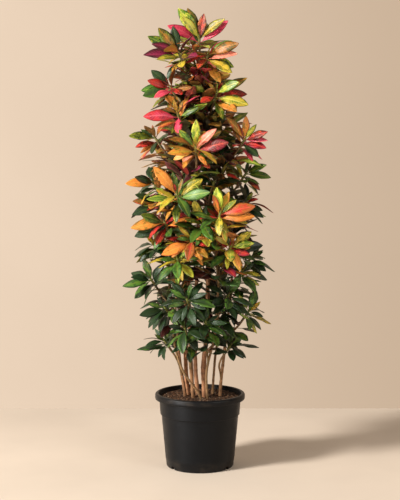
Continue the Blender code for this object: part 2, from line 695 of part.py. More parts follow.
def build_soil():
    slack = WALL + 3 * GAP
    radius = wall_radius(RIM_BOTTOM) - slack
    profile = [
        (0.0, FLOOR_TOP + GAP),
        (wall_radius(FLOOR_TOP) - slack, FLOOR_TOP + GAP),
        (wall_radius(0.196) - slack, 0.196),
        (wall_radius(0.202) - slack - 0.0005, 0.203),
        (radius, SOIL_TOP),
    ]
    profile += [(radius * share, SOIL_TOP) for share in (0.7, 0.35)] + [(0.0, SOIL_TOP)]
    soil = turned("soil", profile)
    for vertex in soil.data.vertices:
        if vertex.co.z > SOIL_TOP - 1e-4:
            vertex.co.z = soil_height(vertex.co.x, vertex.co.y)
    for x, y, foot_radius, _ in STEMS.values():
        low, high = SOIL_TOP - BURIED_DEPTH - GAP, SOIL_TOP + 0.03
        path = [Vector((x, y, low)), Vector((x, y, high))]
        hole = new_object("stem_hole", *tube_data(path, [foot_radius + 2 * GAP] * 2))
        boolean(soil, hole, "DIFFERENCE")
    soil.data.materials.append(material("potting_mix", (0.06, 0.032, 0.018), 0.95))


def build_stem(letter, spines):
    """One stem, with its side branches grown into it."""
    name = f"stem_{letter.lower()}"
    stem = new_object(name, *tube_data(*spines[0]))
    for path, radii in spines[1:]:
        boolean(stem, new_object("branch", *tube_data(path, radii)), "UNION")
    stem.data.name = name
    stem.data.materials.clear()
    stem.data.materials.append(material("bark", (0.30, 0.17, 0.09), 0.8))


def build_whorl(whorl):
    """A shoot tip and its leaves as one closed body: each leaf grows out of one face of the core."""
    obj = new_object(whorl.name, *whorl_data(whorl, whorl.leaves))
    tints = [TINTS[leaf.tint] for leaf in whorl.leaves]
    colour = tuple(sum(t[i] for t in tints) / len(tints) for i in range(3))
    obj.data.materials.append(material(f"leaves_{whorl.number:02d}", colour, 0.35))


def main():
    for obj in list(bpy.data.objects):
        bpy.data.objects.remove(obj)
    build_pot()
    build_soil()
    whorls, stems = grow_bush(STEM_STEP)
    for letter, spines in stems.items():
        build_stem(letter, spines)
    for whorl in whorls:
        build_whorl(whorl)


main()
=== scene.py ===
"""The looks of the potted croton: its leaves, bark, potting mix and pot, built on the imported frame.

The bush grows by the same rules and from the same two lists as the CAD model, so every leaf whorl,
stem, pot and soil piece here stands where its CAD node stands, and replaces it. Only the looks have
the young leaves round the buds and the older leaves down the twigs.
"""

import json
import math
import random

import bpy
import numpy as np
from mathutils import Matrix, Vector, noise
from mathutils.bvhtree import BVHTree


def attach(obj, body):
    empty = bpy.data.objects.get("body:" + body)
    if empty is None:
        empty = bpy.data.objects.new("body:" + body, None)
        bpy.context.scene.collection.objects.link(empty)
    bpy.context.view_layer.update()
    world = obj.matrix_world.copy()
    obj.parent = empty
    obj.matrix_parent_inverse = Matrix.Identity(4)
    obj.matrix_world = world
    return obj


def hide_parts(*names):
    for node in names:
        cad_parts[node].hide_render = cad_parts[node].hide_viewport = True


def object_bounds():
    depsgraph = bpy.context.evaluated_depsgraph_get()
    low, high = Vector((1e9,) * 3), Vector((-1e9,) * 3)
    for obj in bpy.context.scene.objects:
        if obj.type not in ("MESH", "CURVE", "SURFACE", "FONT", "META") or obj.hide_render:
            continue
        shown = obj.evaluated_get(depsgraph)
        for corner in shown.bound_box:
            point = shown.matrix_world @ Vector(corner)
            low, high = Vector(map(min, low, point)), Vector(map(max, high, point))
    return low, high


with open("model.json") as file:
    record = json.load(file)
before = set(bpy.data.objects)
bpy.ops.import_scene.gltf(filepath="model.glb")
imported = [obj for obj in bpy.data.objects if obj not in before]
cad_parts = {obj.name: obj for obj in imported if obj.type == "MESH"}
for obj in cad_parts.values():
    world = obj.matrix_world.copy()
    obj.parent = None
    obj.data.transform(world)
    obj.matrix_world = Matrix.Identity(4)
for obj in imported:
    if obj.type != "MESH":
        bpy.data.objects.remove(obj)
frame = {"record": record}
CAD_BOX = [list(corner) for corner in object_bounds()]

GROWTH_SEED = 7
LOOKS_SEED = 11

# Pot
RIM_RADIUS = 0.175
RIM_BOTTOM = 0.261
RIM_SKIN = 0.0035
POT_HEIGHT = 0.284
FOOT_RADIUS = 0.128
FOOT_INNER_RADIUS = 0.1215
WALL = 0.0025
WALL_PROFILE = ((0.003, 0.1312), (0.200, 0.1500), (0.203, 0.1545), (RIM_BOTTOM, 0.1585))
FLOOR_UNDERSIDE = 0.006
FLOOR_TOP = 0.009
DRAIN_BEARINGS = (-142.0, -38.0, 38.0, 142.0)
DRAIN_WIDTH = 0.017
DRAIN_TOP = 0.013
DRAIN_REACH = (0.110, 0.142)

# Soil
SOIL_TOP = 0.267
SOIL_SWELL = 0.0020
GAP = 0.0003

# Stems
TUBE_SIDES = 6
STEM_STEP = 0.09
STEM_TIP_RADIUS = 0.0038
BRANCH_TIP_RADIUS = 0.0036
BRANCH_SHARE = 0.72
TWIG_NECK = 0.014
BURIED_DEPTH = 0.06
STEM_CLEARANCE = 0.0025
BEAD_STEP = 0.006
FORK_DROPS = (0.13, 0.17, 0.22, 0.10, 0.28, 0.35, 0.43)

# Leaf whorls
CORE_SIDES = 6
CORE_LEVELS = 4
CORE_RADII = (0.0036, 0.0044, 0.0046, 0.0042, 0.0032)
CORE_BEAD_RADIUS = 0.0055
CORE_BELOW = 0.036
CORE_ABOVE = 0.026
BUD_HEIGHT = 0.011
LEAF_LENGTH = 0.108
LEAF_LIMITS = (0.05, 0.14)
FRONT_LIMIT = -0.280
LOWEST_TIP = 0.425
LEAF_COUNT = 18
LEAF_HALF_WIDTH = 0.175
LEAF_SWAY = 0.6
PETIOLE_END = 0.14
PETIOLE_HALF_WIDTH = 0.0015
WIDEST_AT = 0.57
KEEL = 0.0016
ARCH = 0.07
LEAF_CLEARANCE = 0.0008
ROOT_SHARE = 0.93
ROOT_LIFT = 0.0003
GOLDEN_ANGLE = math.radians(137.508)

# How a leaf may shift to find room. A show leaf: turn in degrees, share of its forward reach, share
# of its length. Another leaf: turn in radians, how much more it opens, share of its length.
SHOW_SHIFTS = ((0, 1, 1), (0, 0.4, 1), (6, 1.5, 1), (-6, 1, 1), (8, 0.6, 0.92), (-9, 1.6, 0.95),
               (0, -0.5, 1), (14, 1, 0.9), (-15, 0.5, 0.9))
OTHER_SHIFTS = ((0, 0, 1), (0.3, 0, 1), (-0.3, 0.1, 1), (0.15, -0.25, 0.95), (-0.15, 0.3, 0.85),
                (0.5, 0.1, 0.8), (-0.5, -0.1, 0.72))

# Finer parts that only the looks have
BLADE_STATIONS = (0.0, 0.05, 0.09, 0.13, 0.18, 0.25, 0.34, 0.44, 0.54, 0.64, 0.74, 0.83, 0.91, 0.965)
BLADE_ACROSS = (-1.0, -0.68, -0.36, 0.0, 0.36, 0.68, 1.0)
BLADE_START = 0.10
BLADE_THICKNESS = 0.00045
PETIOLE_RADIUS = 0.0013
VARIEGATED_ABOVE = 0.95
WAVE_TURN = 6.28

# Older leaves along the twigs. How one may shift: turn in radians, opening in degrees, share of its
# length
FIRST_TWIG_LEAF = 0.018
TWIG_LEAF_STEP = 0.009
TWIG_LEAF_ROOT = 0.003
TWIG_LEAF_SHIFTS = ((0, 75, 1), (0.7, 95, 1), (-0.7, 60, 0.9), (1.4, 85, 0.8), (-1.4, 105, 0.9),
                    (2.2, 100, 0.8), (-2.2, 70, 0.7), (3.1, 90, 0.65))
LOWEST_TWIG_LEAF = 0.45
BRIGHT_CHANCE = 0.65
BOX_MARGIN = 0.005

# Young leaves round a bud, from the inmost. How one may shift: turn in radians, how many degrees
# more it opens, share of its length
YOUNG_LENGTHS = (0.034, 0.042, 0.052, 0.060, 0.066)
YOUNG_ROOT = 0.002
LARGEST_YOUNG = 1.12
YOUNG_BELOW = 0.082
YOUNG_FULLNESS = 0.8
YOUNG_SHIFTS = ((0, 0, 1), (0.5, 0, 1), (-0.5, 0, 1), (1.0, -5, 1), (-1.0, -5, 1), (1.6, 5, 0.9),
                (-1.6, 5, 0.9), (2.3, -10, 0.85), (-2.3, -10, 0.85), (3.1, 0, 0.8), (0, -10, 0.6))

# Material slots of a whorl
UPPER_SLOT, UNDER_SLOT, SHOOT_SLOT = 0, 1, 2

# Finer stems, pot and soil
STEM_FINE_STEP = 0.007
STEM_FINE_SIDES = 10
KNOT_SPACING = 0.024
POT_STEPS = 144
SOIL_EDGE_LEVEL = 0.258
SOIL_SIDE_GAP = 0.0006
CHIP_EDGE_GAP = 0.002
CHIP_COUNT = 3000
CHIP_LIGHT = 0.86
CHIP_SIZES = (0.0012, 0.0016, 0.0021, 0.0028, 0.0040)

# Stems: letter -> foot x, foot y, foot radius, points that the stem passes on its way up
STEMS = {
    "A": (-0.059, 0.002, 0.0068, ((-0.088, 0.006, 0.47), (-0.130, 0.015, 0.86))),
    "B": (-0.028, -0.024, 0.0064, ((-0.040, -0.036, 0.42), (-0.074, -0.050, 0.60), (-0.088, -0.065, 0.91))),
    "C": (0.000, -0.054, 0.0046,
          ((-0.066, -0.086, 0.385), (-0.098, -0.100, 0.50), (-0.085, -0.115, 0.70), (-0.058, -0.116, 0.91))),
    "D": (-0.048, 0.028, 0.0084, ((-0.058, 0.024, 0.46), (-0.052, 0.008, 0.91), (-0.038, 0.006, 1.26))),
    "E": (-0.010, 0.020, 0.0080, ((-0.020, 0.028, 0.46), (-0.008, 0.020, 0.91), (-0.004, 0.014, 1.33))),
    "F": (0.017, -0.018, 0.0094,
          ((0.013, -0.022, 0.40), (0.030, -0.030, 0.52), (0.026, -0.034, 0.91), (0.012, -0.033, 1.26))),
    "G": (0.078, 0.004, 0.0062, ((0.088, 0.008, 0.38), (0.104, 0.028, 0.52), (0.128, 0.028, 0.81))),
    "H": (0.050, 0.044, 0.0048,
          ((0.058, 0.036, 0.40), (0.070, 0.004, 0.54), (0.075, -0.012, 0.91), (0.066, -0.030, 1.16))),
    "L": (0.027, -0.040, 0.0052, ((0.026, -0.058, 0.38), (0.052, -0.080, 0.50), (0.068, -0.125, 0.73))),
    "I": (-0.030, 0.066, 0.0074, ((-0.040, 0.080, 0.51), (-0.046, 0.088, 0.91), (-0.038, 0.085, 1.31))),
    "J": (0.016, 0.066, 0.0074, ((0.022, 0.085, 0.51), (0.036, 0.100, 0.91), (0.030, 0.108, 1.21))),
}

# Leaf whorls, from the top down: x, y, z of the middle, the stem that bears it, how far it leans
# outward in degrees, and its show leaves. A show leaf is its tint, the direction that it points in
# as seen from the front (0 to the right, 90 up) and how far its tip stands from the middle, in mm.
# A whorl with tints alone has no show leaves, and its other leaves take those tints.
WHORLS = (
    (-0.002, -0.020, 1.626, "E", 8, "L120/150 B110/140 R80/110 Y50/135 P35/135 P140/150 L135/120 L110/80"),
    (-0.027, 0.080, 1.612, "I", 22, "P L G R"),
    (-0.072, -0.060, 1.567, "D", 30,
     "B130/135 G150/145 M155/115 M190/155 K105/120 Y200/90 L240/70 O145/50"),
    (0.026, -0.060, 1.559, "F", 20, "L35/115 R50/90 B25/130 S10/115 S5/155 G345/105 Y330/110 O300/105"),
    (0.020, 0.120, 1.476, "J", 35, "P G L B"),
    (-0.102, -0.050, 1.441, "B", 35, "R160/100 G180/120 K190/115 P210/75 K135/115 Y125/40 B300/65 B10/75"),
    (0.057, -0.060, 1.417, "H", 25, "B30/140 L25/100 R5/120 L350/125 O335/105 P330/95 Y115/60"),
    (-0.072, 0.140, 1.352, "I", 40, "R G O B"),
    (-0.078, -0.130, 1.336, "C", 30, "O140/60 O100/65 B70/60 P180/125 G25/80 L245/65"),
    (0.100, 0.130, 1.311, "J", 40, "O L G R"),
    (0.050, 0.030, 1.291, "E", 25, "B K G O"),
    (-0.161, -0.020, 1.254, "A", 35, "G170/110 K145/80 B110/65 R195/85 B215/80"),
    (0.159, -0.050, 1.245, "H", 35, "O80/105 O120/115 B125/70 L55/90 R25/105 P5/95 R350/90 K320/80"),
    (-0.015, -0.200, 1.207, "C", 40,
     "L90/115 G130/100 Y185/100 R15/120 B40/120 L5/160 Y355/165 O310/65 S55/115"),
    (-0.112, 0.130, 1.160, "I", 40, "O G K R"),
    (0.088, 0.150, 1.145, "J", 40, "L O G K"),
    (0.165, -0.020, 1.117, "G", 35, "G30/100 K70/60 G0/105 R325/80 G335/65 Y120/55"),
    (0.049, -0.080, 1.085, "F", 30, "K G B K"),
    (-0.164, -0.050, 1.078, "A", 35, "O170/115 K150/90 K200/65 G135/85"),
    (-0.080, -0.200, 1.036, "B", 35, "O125/145 O125/105 G100/100 B75/75 Y40/115 G10/120 R325/50 G140/100"),
    (0.164, -0.040, 1.010, "G", 35, "R25/60 K345/75 K330/90 G50/60"),
    (-0.154, -0.020, 1.009, "A", 40, "K155/100 B170/105 R180/125 R195/50 K190/120"),
    (-0.088, 0.140, 0.969, "I", 40, "K O G B"),
    (0.101, 0.150, 0.968, "J", 40, "Y G K R"),
    (0.069, -0.200, 0.963, "L", 30, "L95/115 O115/95 Y70/105 G50/95 R20/140 O5/130 Y305/60 K350/80"),
    (-0.123, -0.130, 0.932, "B", 35, "G155/105 O180/135 K195/125 R240/75 O20/95 G230/105"),
    (0.011, -0.160, 0.929, "C", 30, "Y110/110 K80/85 O350/60 G250/70 G145/75"),
    (-0.026, -0.180, 0.874, "C", 35, "Y130/85 O200/120 O20/60 R350/60 G240/60 G165/60"),
    (-0.166, -0.020, 0.848, "A", 35, "G205/75 K220/85 Y120/60"),
    (-0.060, 0.150, 0.844, "I", 40, "G K Y K"),
    (0.108, -0.150, 0.843, "L", 35,
     "Y130/85 G110/80 Y40/110 L20/95 O10/80 K10/130 R355/75 Y260/65 O315/70"),
    (0.060, 0.150, 0.803, "J", 40, "K G K O"),
    (-0.078, -0.150, 0.799, "C", 40, "Y120/65 L50/60 Y20/70 Y280/65 G165/70"),
    (0.187, 0.020, 0.791, "G", 35, "G35/70 K355/65 K335/75 G315/75"),
    (0.152, -0.080, 0.745, "H", 35, "Y5/75 L335/80 K45/70 K145/65"),
    (-0.176, -0.040, 0.711, "B", 35, "G110/105 K160/90 G185/120 K215/90 K65/90"),
    (-0.101, 0.140, 0.671, "I", 40, "K G K"),
    (-0.044, -0.180, 0.653, "C", 45, "G140/85 G185/70 G80/75 K30/80 K345/70 K250/65"),
    (0.098, -0.100, 0.655, "H", 35, "K85/90 G60/115 K145/70 K325/70 K225/70"),
    (0.060, 0.140, 0.646, "J", 40, "K K G"),
    (-0.121, -0.090, 0.609, "B", 40, "K185/105 G155/85 K205/80 K125/70 G320/60"),
    (0.176, -0.060, 0.594, "F", 35, "L110/90 Y45/75 K315/80 K355/65 K150/80 G65/75"),
    (0.019, -0.150, 0.563, "L", 40, "G80/75 G340/70 G235/60 K165/70 K40/65 K10/80"),
    (-0.052, -0.140, 0.539, "B", 40, "K155/70 G65/80 K245/70 K305/75 G105/65"),
    (-0.127, -0.050, 0.480, "A", 35, "K180/80 G130/60 K235/55 K130/75"),
    (0.107, -0.050, 0.461, "G", 35, "K30/60 K325/75 K125/75 K190/60 G235/55"),
)


# ---------------------------------------------------------------- looks

# Leaf tints: letter -> blade, blotches, veins, how much of the blade the blotches take, and the
# tints that may flush its rim and tip
TINTS = {
    "L": ((0.50, 0.54, 0.045), (0.10, 0.22, 0.015), (0.70, 0.62, 0.12), 0.44, "YOG"),
    "Y": ((0.48, 0.34, 0.025), (0.14, 0.14, 0.012), (0.62, 0.44, 0.04), 0.46, "LOB"),
    "O": ((0.72, 0.24, 0.035), (0.26, 0.13, 0.015), (0.80, 0.34, 0.06), 0.38, "YRB"),
    "B": ((0.34, 0.12, 0.016), (0.08, 0.06, 0.008), (0.52, 0.20, 0.025), 0.46, "OGR"),
    "R": ((0.52, 0.025, 0.018), (0.11, 0.012, 0.008), (0.70, 0.09, 0.05), 0.42, "MBR"),
    "P": ((0.66, 0.045, 0.10), (0.30, 0.015, 0.035), (0.80, 0.15, 0.18), 0.34, "SRP"),
    "S": ((0.84, 0.25, 0.16), (0.66, 0.10, 0.06), (0.90, 0.42, 0.25), 0.36, "OPS"),
    "M": ((0.22, 0.014, 0.045), (0.05, 0.008, 0.014), (0.40, 0.04, 0.09), 0.38, "RDM"),
    "G": ((0.070, 0.165, 0.016), (0.020, 0.060, 0.008), (0.26, 0.30, 0.04), 0.42, "LKY"),
    "K": ((0.016, 0.040, 0.011), (0.006, 0.015, 0.005), (0.05, 0.085, 0.02), 0.36, "GKD"),
    "D": ((0.045, 0.010, 0.007), (0.014, 0.007, 0.005), (0.09, 0.022, 0.012), 0.40, "KDM"),
}

# The older leaves along the twigs, for the crown, the middle and the lower third: where that part
# starts, the tints, how far down the twig they grow, how far down they keep the whorl's tints, how
# many degrees they rise above the spread ones and how long they are against a leaf of a whorl, which
# also sets how long the young leaves round the bud are
STOREYS = (
    (1.20, "DMBGK", 0.30, 0.17, 28, 1.22),
    (0.75, "DKBGK", 0.24, 0.08, 14, 1.05),
    (0.00, "KKGKD", 0.09, 0.05, 5, 0.95),
)


class Tree:
    """The node tree of a material or a world, built in few words."""

    def __init__(self, owner, shader="Principled BSDF"):
        self.owner = owner
        owner.use_nodes = True
        self.tree = owner.node_tree
        self.shader = self.tree.nodes[shader]

    def put(self, socket, value):
        if isinstance(value, bpy.types.NodeSocket):
            self.tree.links.new(value, socket)
        else:
            socket.default_value = value

    def node(self, kind, *values, **settings):
        node = self.tree.nodes.new("ShaderNode" + kind)
        for key, value in settings.items():
            setattr(node, key, value)
        for socket, value in zip(node.inputs, values):
            if value is not None:
                self.put(socket, value)
        return node

    def calc(self, operation, *values):
        return self.node("Math", *values, operation=operation).outputs[0]

    def times(self, one, other):
        return self.calc("MULTIPLY", one, other)

    def times_plus(self, one, other, more):
        return self.calc("MULTIPLY_ADD", one, other, more)

    def attribute(self, name):
        return self.node("Attribute", attribute_name=name)

    def step(self, value, low, high, at_low=0.0, at_high=1.0):
        """A smooth step of value between low and high."""
        node = self.node("MapRange", value, low, high, at_low, at_high)
        node.interpolation_type = "SMOOTHSTEP"
        return node.outputs[0]

    def cloud(self, place, scale, detail=2.0, roughness=0.5):
        node = self.node("TexNoise")
        self.put(node.inputs["Vector"], place)
        self.put(node.inputs["Scale"], scale)
        node.inputs["Detail"].default_value = detail
        node.inputs["Roughness"].default_value = roughness
        return node.outputs[0]

    def mix(self, share, one, other, mode="MIX"):
        node = self.node("Mix", data_type="RGBA", blend_type=mode)
        for name, value in (("Factor_Float", share), ("A_Color", one), ("B_Color", other)):
            socket = next(s for s in node.inputs if s.identifier == name)
            colour = name != "Factor_Float" and not isinstance(value, bpy.types.NodeSocket)
            self.put(socket, (*value[:3], 1.0) if colour else value)
        return next(s for s in node.outputs if s.identifier == "Result_Color")

    def stretched(self, place, x, y, z):
        node = self.node("VectorMath", place, (x, y, z), operation="MULTIPLY")
        return node.outputs[0]

    def object_place(self):
        return self.node("TexCoord").outputs["Object"]

    def bump(self, height, distance, strength=1.0):
        node = self.node("Bump")
        self.put(node.inputs["Height"], height)
        node.inputs["Distance"].default_value = distance
        node.inputs["Strength"].default_value = strength
        self.tree.links.new(node.outputs[0], self.shader.inputs["Normal"])

    def finish(self, colour, roughness, **plain):
        self.put(self.shader.inputs["Base Color"], colour)
        self.put(self.shader.inputs["Roughness"], roughness)
        for name, value in plain.items():
            self.shader.inputs[name.replace("_", " ")].default_value = value
        return self.owner


def leaf_material(name, upper):
    """A variegated blade: midrib, side veins and blotches, and a second tint at its rim and tip. Its
    underside is duller, and darkened by painted shade.
    """
    t = Tree(bpy.data.materials.new(name))
    tint, vein, blotch = t.attribute("tint"), t.attribute("vein"), t.attribute("blotch")
    place = t.node("SeparateXYZ", t.node("UVMap", uv_map="blade").outputs[0])
    across = t.calc("ABSOLUTE", t.times_plus(place.outputs[0], 2.0, -1.0))
    along = place.outputs[1]
    seed = t.times(vein.outputs["Alpha"], 37.0)
    spot = t.node("CombineXYZ", place.outputs[0], t.times(along, 2.6), seed).outputs[0]
    wander = t.cloud(spot, 3.0)
    slant = t.times_plus(across, -0.17, along)
    rows = t.times_plus(wander, 0.8, t.times(slant, 13.0))
    off = t.calc("ABSOLUTE", t.calc("SUBTRACT", t.calc("FRACT", rows), 0.5))
    side_vein = t.times(t.step(off, 0.20, 0.04), t.step(across, 0.98, 0.35))
    midrib = t.step(across, 0.15, 0.04)
    veins = t.calc("MAXIMUM", midrib, t.times(side_vein, 0.62))
    fine = t.cloud(spot, 9.0, 3.0, 0.6)
    coarse = t.cloud(spot, 2.2, 2.0)
    field = t.calc("ADD", t.times(coarse, 0.75), t.times(fine, 0.35))
    level = t.times_plus(tint.outputs["Alpha"], -0.42, 0.76)
    blotched = t.step(t.calc("SUBTRACT", field, level), -0.03, 0.05)
    flush = t.attribute("flush")
    drift = t.times_plus(across, 0.55, t.times(along, 0.35))
    drift = t.times_plus(coarse, 1.1, drift)
    drift = t.times_plus(flush.outputs["Alpha"], 0.55, drift)
    blade = t.mix(t.step(drift, 1.12, 1.62, 0.0, 0.85), tint.outputs["Color"], flush.outputs["Color"])
    blade = t.mix(blotched, blade, blotch.outputs["Color"])
    rim = t.times(t.step(across, 0.80, 1.0), 0.45)
    blade = t.mix(rim, blade, blotch.outputs["Color"])
    colour = t.mix(t.times(veins, 0.78), blade, vein.outputs["Color"])
    shade = t.step(fine, 0.2, 0.8, 0.82, 1.12)
    colour = t.mix(1.0, colour, t.node("CombineColor", shade, shade, shade).outputs[0], "MULTIPLY")
    if upper:
        t.bump(t.times_plus(veins, -1.0, t.times(fine, 0.4)), 0.0006, 0.7)
        return t.finish(colour, t.step(fine, 0.2, 0.8, 0.32, 0.46), Specular_IOR_Level=0.38)
    # The underside: partly its own duller colour, partly painted shade, by 45 % of a dark brown mixed in.
    dull_and_shaded_underside = t.mix(0.45, colour, (0.10, 0.055, 0.035))
    t.bump(t.times_plus(veins, 1.0, t.times(fine, 0.4)), 0.0008, 0.7)
    return t.finish(dull_and_shaded_underside, t.step(fine, 0.2, 0.8, 0.45, 0.60), Specular_IOR_Level=0.35)


def bark_material():
    """Tan bark with dark upright streaks, pale corky spots and rings at old leaf scars."""
    t = Tree(bpy.data.materials.new("croton_bark"))
    place = t.object_place()
    streak = t.cloud(t.stretched(place, 1.0, 1.0, 0.10), 260.0, 4.0, 0.6)
    patch = t.cloud(t.stretched(place, 1.0, 1.0, 0.5), 26.0, 3.0)
    fleck = t.cloud(place, 420.0, 2.0)
    age = t.attribute("age").outputs["Fac"]
    young = t.mix(t.step(patch, 0.35, 0.65), (0.30, 0.17, 0.075), (0.17, 0.12, 0.045))
    old = t.mix(t.step(patch, 0.35, 0.65), (0.47, 0.215, 0.095), (0.26, 0.112, 0.050))
    colour = t.mix(age, young, old)
    colour = t.mix(t.step(streak, 0.52, 0.72, 0.0, 0.65), colour, (0.085, 0.045, 0.025))
    colour = t.mix(t.step(fleck, 0.62, 0.72, 0.0, 0.55), colour, (0.55, 0.40, 0.27))
    scar = t.attribute("scar").outputs["Fac"]
    colour = t.mix(t.times(scar, 0.6), colour, (0.10, 0.055, 0.03))
    t.bump(t.calc("ADD", streak, t.times(fleck, 0.5)), 0.0015, 0.8)
    return t.finish(colour, t.step(patch, 0.3, 0.7, 0.62, 0.82), Specular_IOR_Level=0.3)


def shoot_material():
    """The green tip of a shoot, browner towards the twig."""
    t = Tree(bpy.data.materials.new("green_shoot"))
    fleck = t.cloud(t.object_place(), 300.0, 3.0)
    age = t.attribute("age").outputs["Fac"]
    colour = t.mix(age, (0.16, 0.20, 0.03), (0.17, 0.10, 0.045))
    colour = t.mix(t.step(fleck, 0.5, 0.7, 0.0, 0.5), colour, (0.30, 0.10, 0.04))
    t.bump(fleck, 0.0008, 0.6)
    return t.finish(colour, t.step(fleck, 0.3, 0.7, 0.45, 0.60))


def plastic_material():
    """Moulded black plastic: fine grain, faint upright flow marks, dust near the foot and a painted sheen in
    a band round the rim.
    """
    t = Tree(bpy.data.materials.new("moulded_black_plastic"))
    place = t.object_place()
    height = t.node("SeparateXYZ", place).outputs[2]
    grain = t.cloud(place, 900.0, 2.0)
    flow = t.cloud(t.stretched(place, 1.0, 1.0, 0.12), 38.0, 3.0)
    smear = t.cloud(t.stretched(place, 1.0, 1.0, 1.6), 17.0, 4.0, 0.6)
    colour = t.mix(flow, (0.0018, 0.0023, 0.0032), (0.0036, 0.0044, 0.0056))
    # Lighter near the foot: dust. Lighter in a band at the top of the rim: a painted sheen in the same
    # colour.
    low = t.step(height, 0.050, 0.002)
    high = t.step(height, POT_HEIGHT - 0.024, POT_HEIGHT - 0.012)
    dust_and_rim_sheen = t.times(t.calc("MAXIMUM", low, t.times(high, 0.8)),
                  t.step(smear, 0.45, 0.72, 0.03, 0.30))
    colour = t.mix(dust_and_rim_sheen, colour, (0.10, 0.072, 0.048))
    t.bump(t.times_plus(flow, 0.6, grain), 0.00035, 0.5)
    rough = t.times_plus(dust_and_rim_sheen, 0.4, t.step(smear, 0.3, 0.7, 0.36, 0.44))
    return t.finish(colour, rough, Specular_IOR_Level=0.18)


def mix_material():
    """Peat and bark: each chip has its own brown."""
    t = Tree(bpy.data.materials.new("bark_and_peat"))
    place = t.object_place()
    crumb = t.cloud(place, 650.0, 4.0, 0.65)
    own = t.attribute("own")
    colour = t.mix(t.step(crumb, 0.30, 0.62), (0.030, 0.015, 0.008), own.outputs["Color"])
    t.bump(crumb, 0.0016, 0.9)
    return t.finish(colour, t.step(crumb, 0.3, 0.7, 0.80, 0.98), Specular_IOR_Level=0.2)


def plaster_material():
    """The plain warm floor of the studio."""
    t = Tree(bpy.data.materials.new("studio_plaster"))
    cloud = t.cloud(t.object_place(), 1.6, 4.0)
    colour = t.mix(t.step(cloud, 0.3, 0.7), (0.67, 0.566, 0.460), (0.73, 0.618, 0.503))
    t.bump(t.cloud(t.object_place(), 60.0, 4.0), 0.001, 0.2)
    return t.finish(colour, 0.85, Specular_IOR_Level=0.2)


# ---------------------------------------------------------------- how the bush grows


def ring_frame(direction, previous):
    """Two unit vectors square to direction, the first as near as can be to previous."""
    first = previous - direction * previous.dot(direction)
    first.normalize()
    return first, direction.cross(first)


def spoke_at(angle, side, other):
    """The direction at this angle from side, turned towards other."""
    return math.cos(angle) * side + math.sin(angle) * other


def tube_faces(rings, sides):
    """The faces of a closed tube of this many rings of points."""
    faces = []
    for i in range(rings - 1):
        for k in range(sides):
            a, b = i * sides + k, i * sides + (k + 1) % sides
            faces.append([a, b, b + sides, a + sides])
    faces.append(list(range(sides))[::-1])
    faces.append([(rings - 1) * sides + k for k in range(sides)])
    return faces


def tube_data(path, radii, sides=TUBE_SIDES):
    """Vertices and faces of a closed tube along a path."""
    verts = []
    side = Vector((1.0, 0.0, 0.0))
    last = len(path) - 1
    for i, (centre, radius) in enumerate(zip(path, radii)):
        direction = (path[min(i + 1, last)] - path[max(i - 1, 0)]).normalized()
        side, other = ring_frame(direction, side)
        for k in range(sides):
            verts.append(centre + radius * spoke_at(math.tau * k / sides, side, other))
    return verts, tube_faces(len(path), sides)


class Whorl:
    """A shoot tip: where it stands, which way it leans and the leaves that it should bear."""

    def __init__(self, number, row):
        x, y, z, self.stem, lean, leaves = row
        self.name = f"leaf_whorl_{number:02d}"
        self.number = number
        self.middle = Vector((x, y, z))
        tilt = math.radians(lean)
        outward = Vector((x, y, 0.0)).normalized()
        self.axis = (outward * math.sin(tilt) + Vector((0.0, 0.0, math.cos(tilt)))).normalized()
        self.side, self.other = ring_frame(self.axis, Vector((1.0, 0.0, 0.0)))
        self.foot = self.middle - self.axis * CORE_BELOW
        words = leaves.split()
        self.tints = [word[0] for word in words]
        self.show = [(w[0], *map(float, w[1:].split("/"))) for w in words if "/" in w]
        self.leaves = []
        self.twig = None
        self.free = {(level, s) for level in range(1, CORE_LEVELS) for s in range(CORE_SIDES)}

    def ring_centre(self, level):
        return self.foot + self.axis * ((CORE_BELOW + CORE_ABOVE) * level / CORE_LEVELS)

    def spoke(self, angle):
        return spoke_at(angle, self.side, self.other)

    def corner(self, level, s):
        return self.ring_centre(level) + CORE_RADII[level] * self.spoke(math.tau * s / CORE_SIDES)

    def nearest_face(self, direction, level):
        """The free face of the core that best looks in this direction, near this level."""
        def misfit(place):
            spoke = self.spoke(math.tau * (place[1] + 0.5) / CORE_SIDES)
            return 0.6 * abs(place[0] - level) - direction.dot(spoke)
        return min(sorted(self.free), key=misfit) if self.free else None


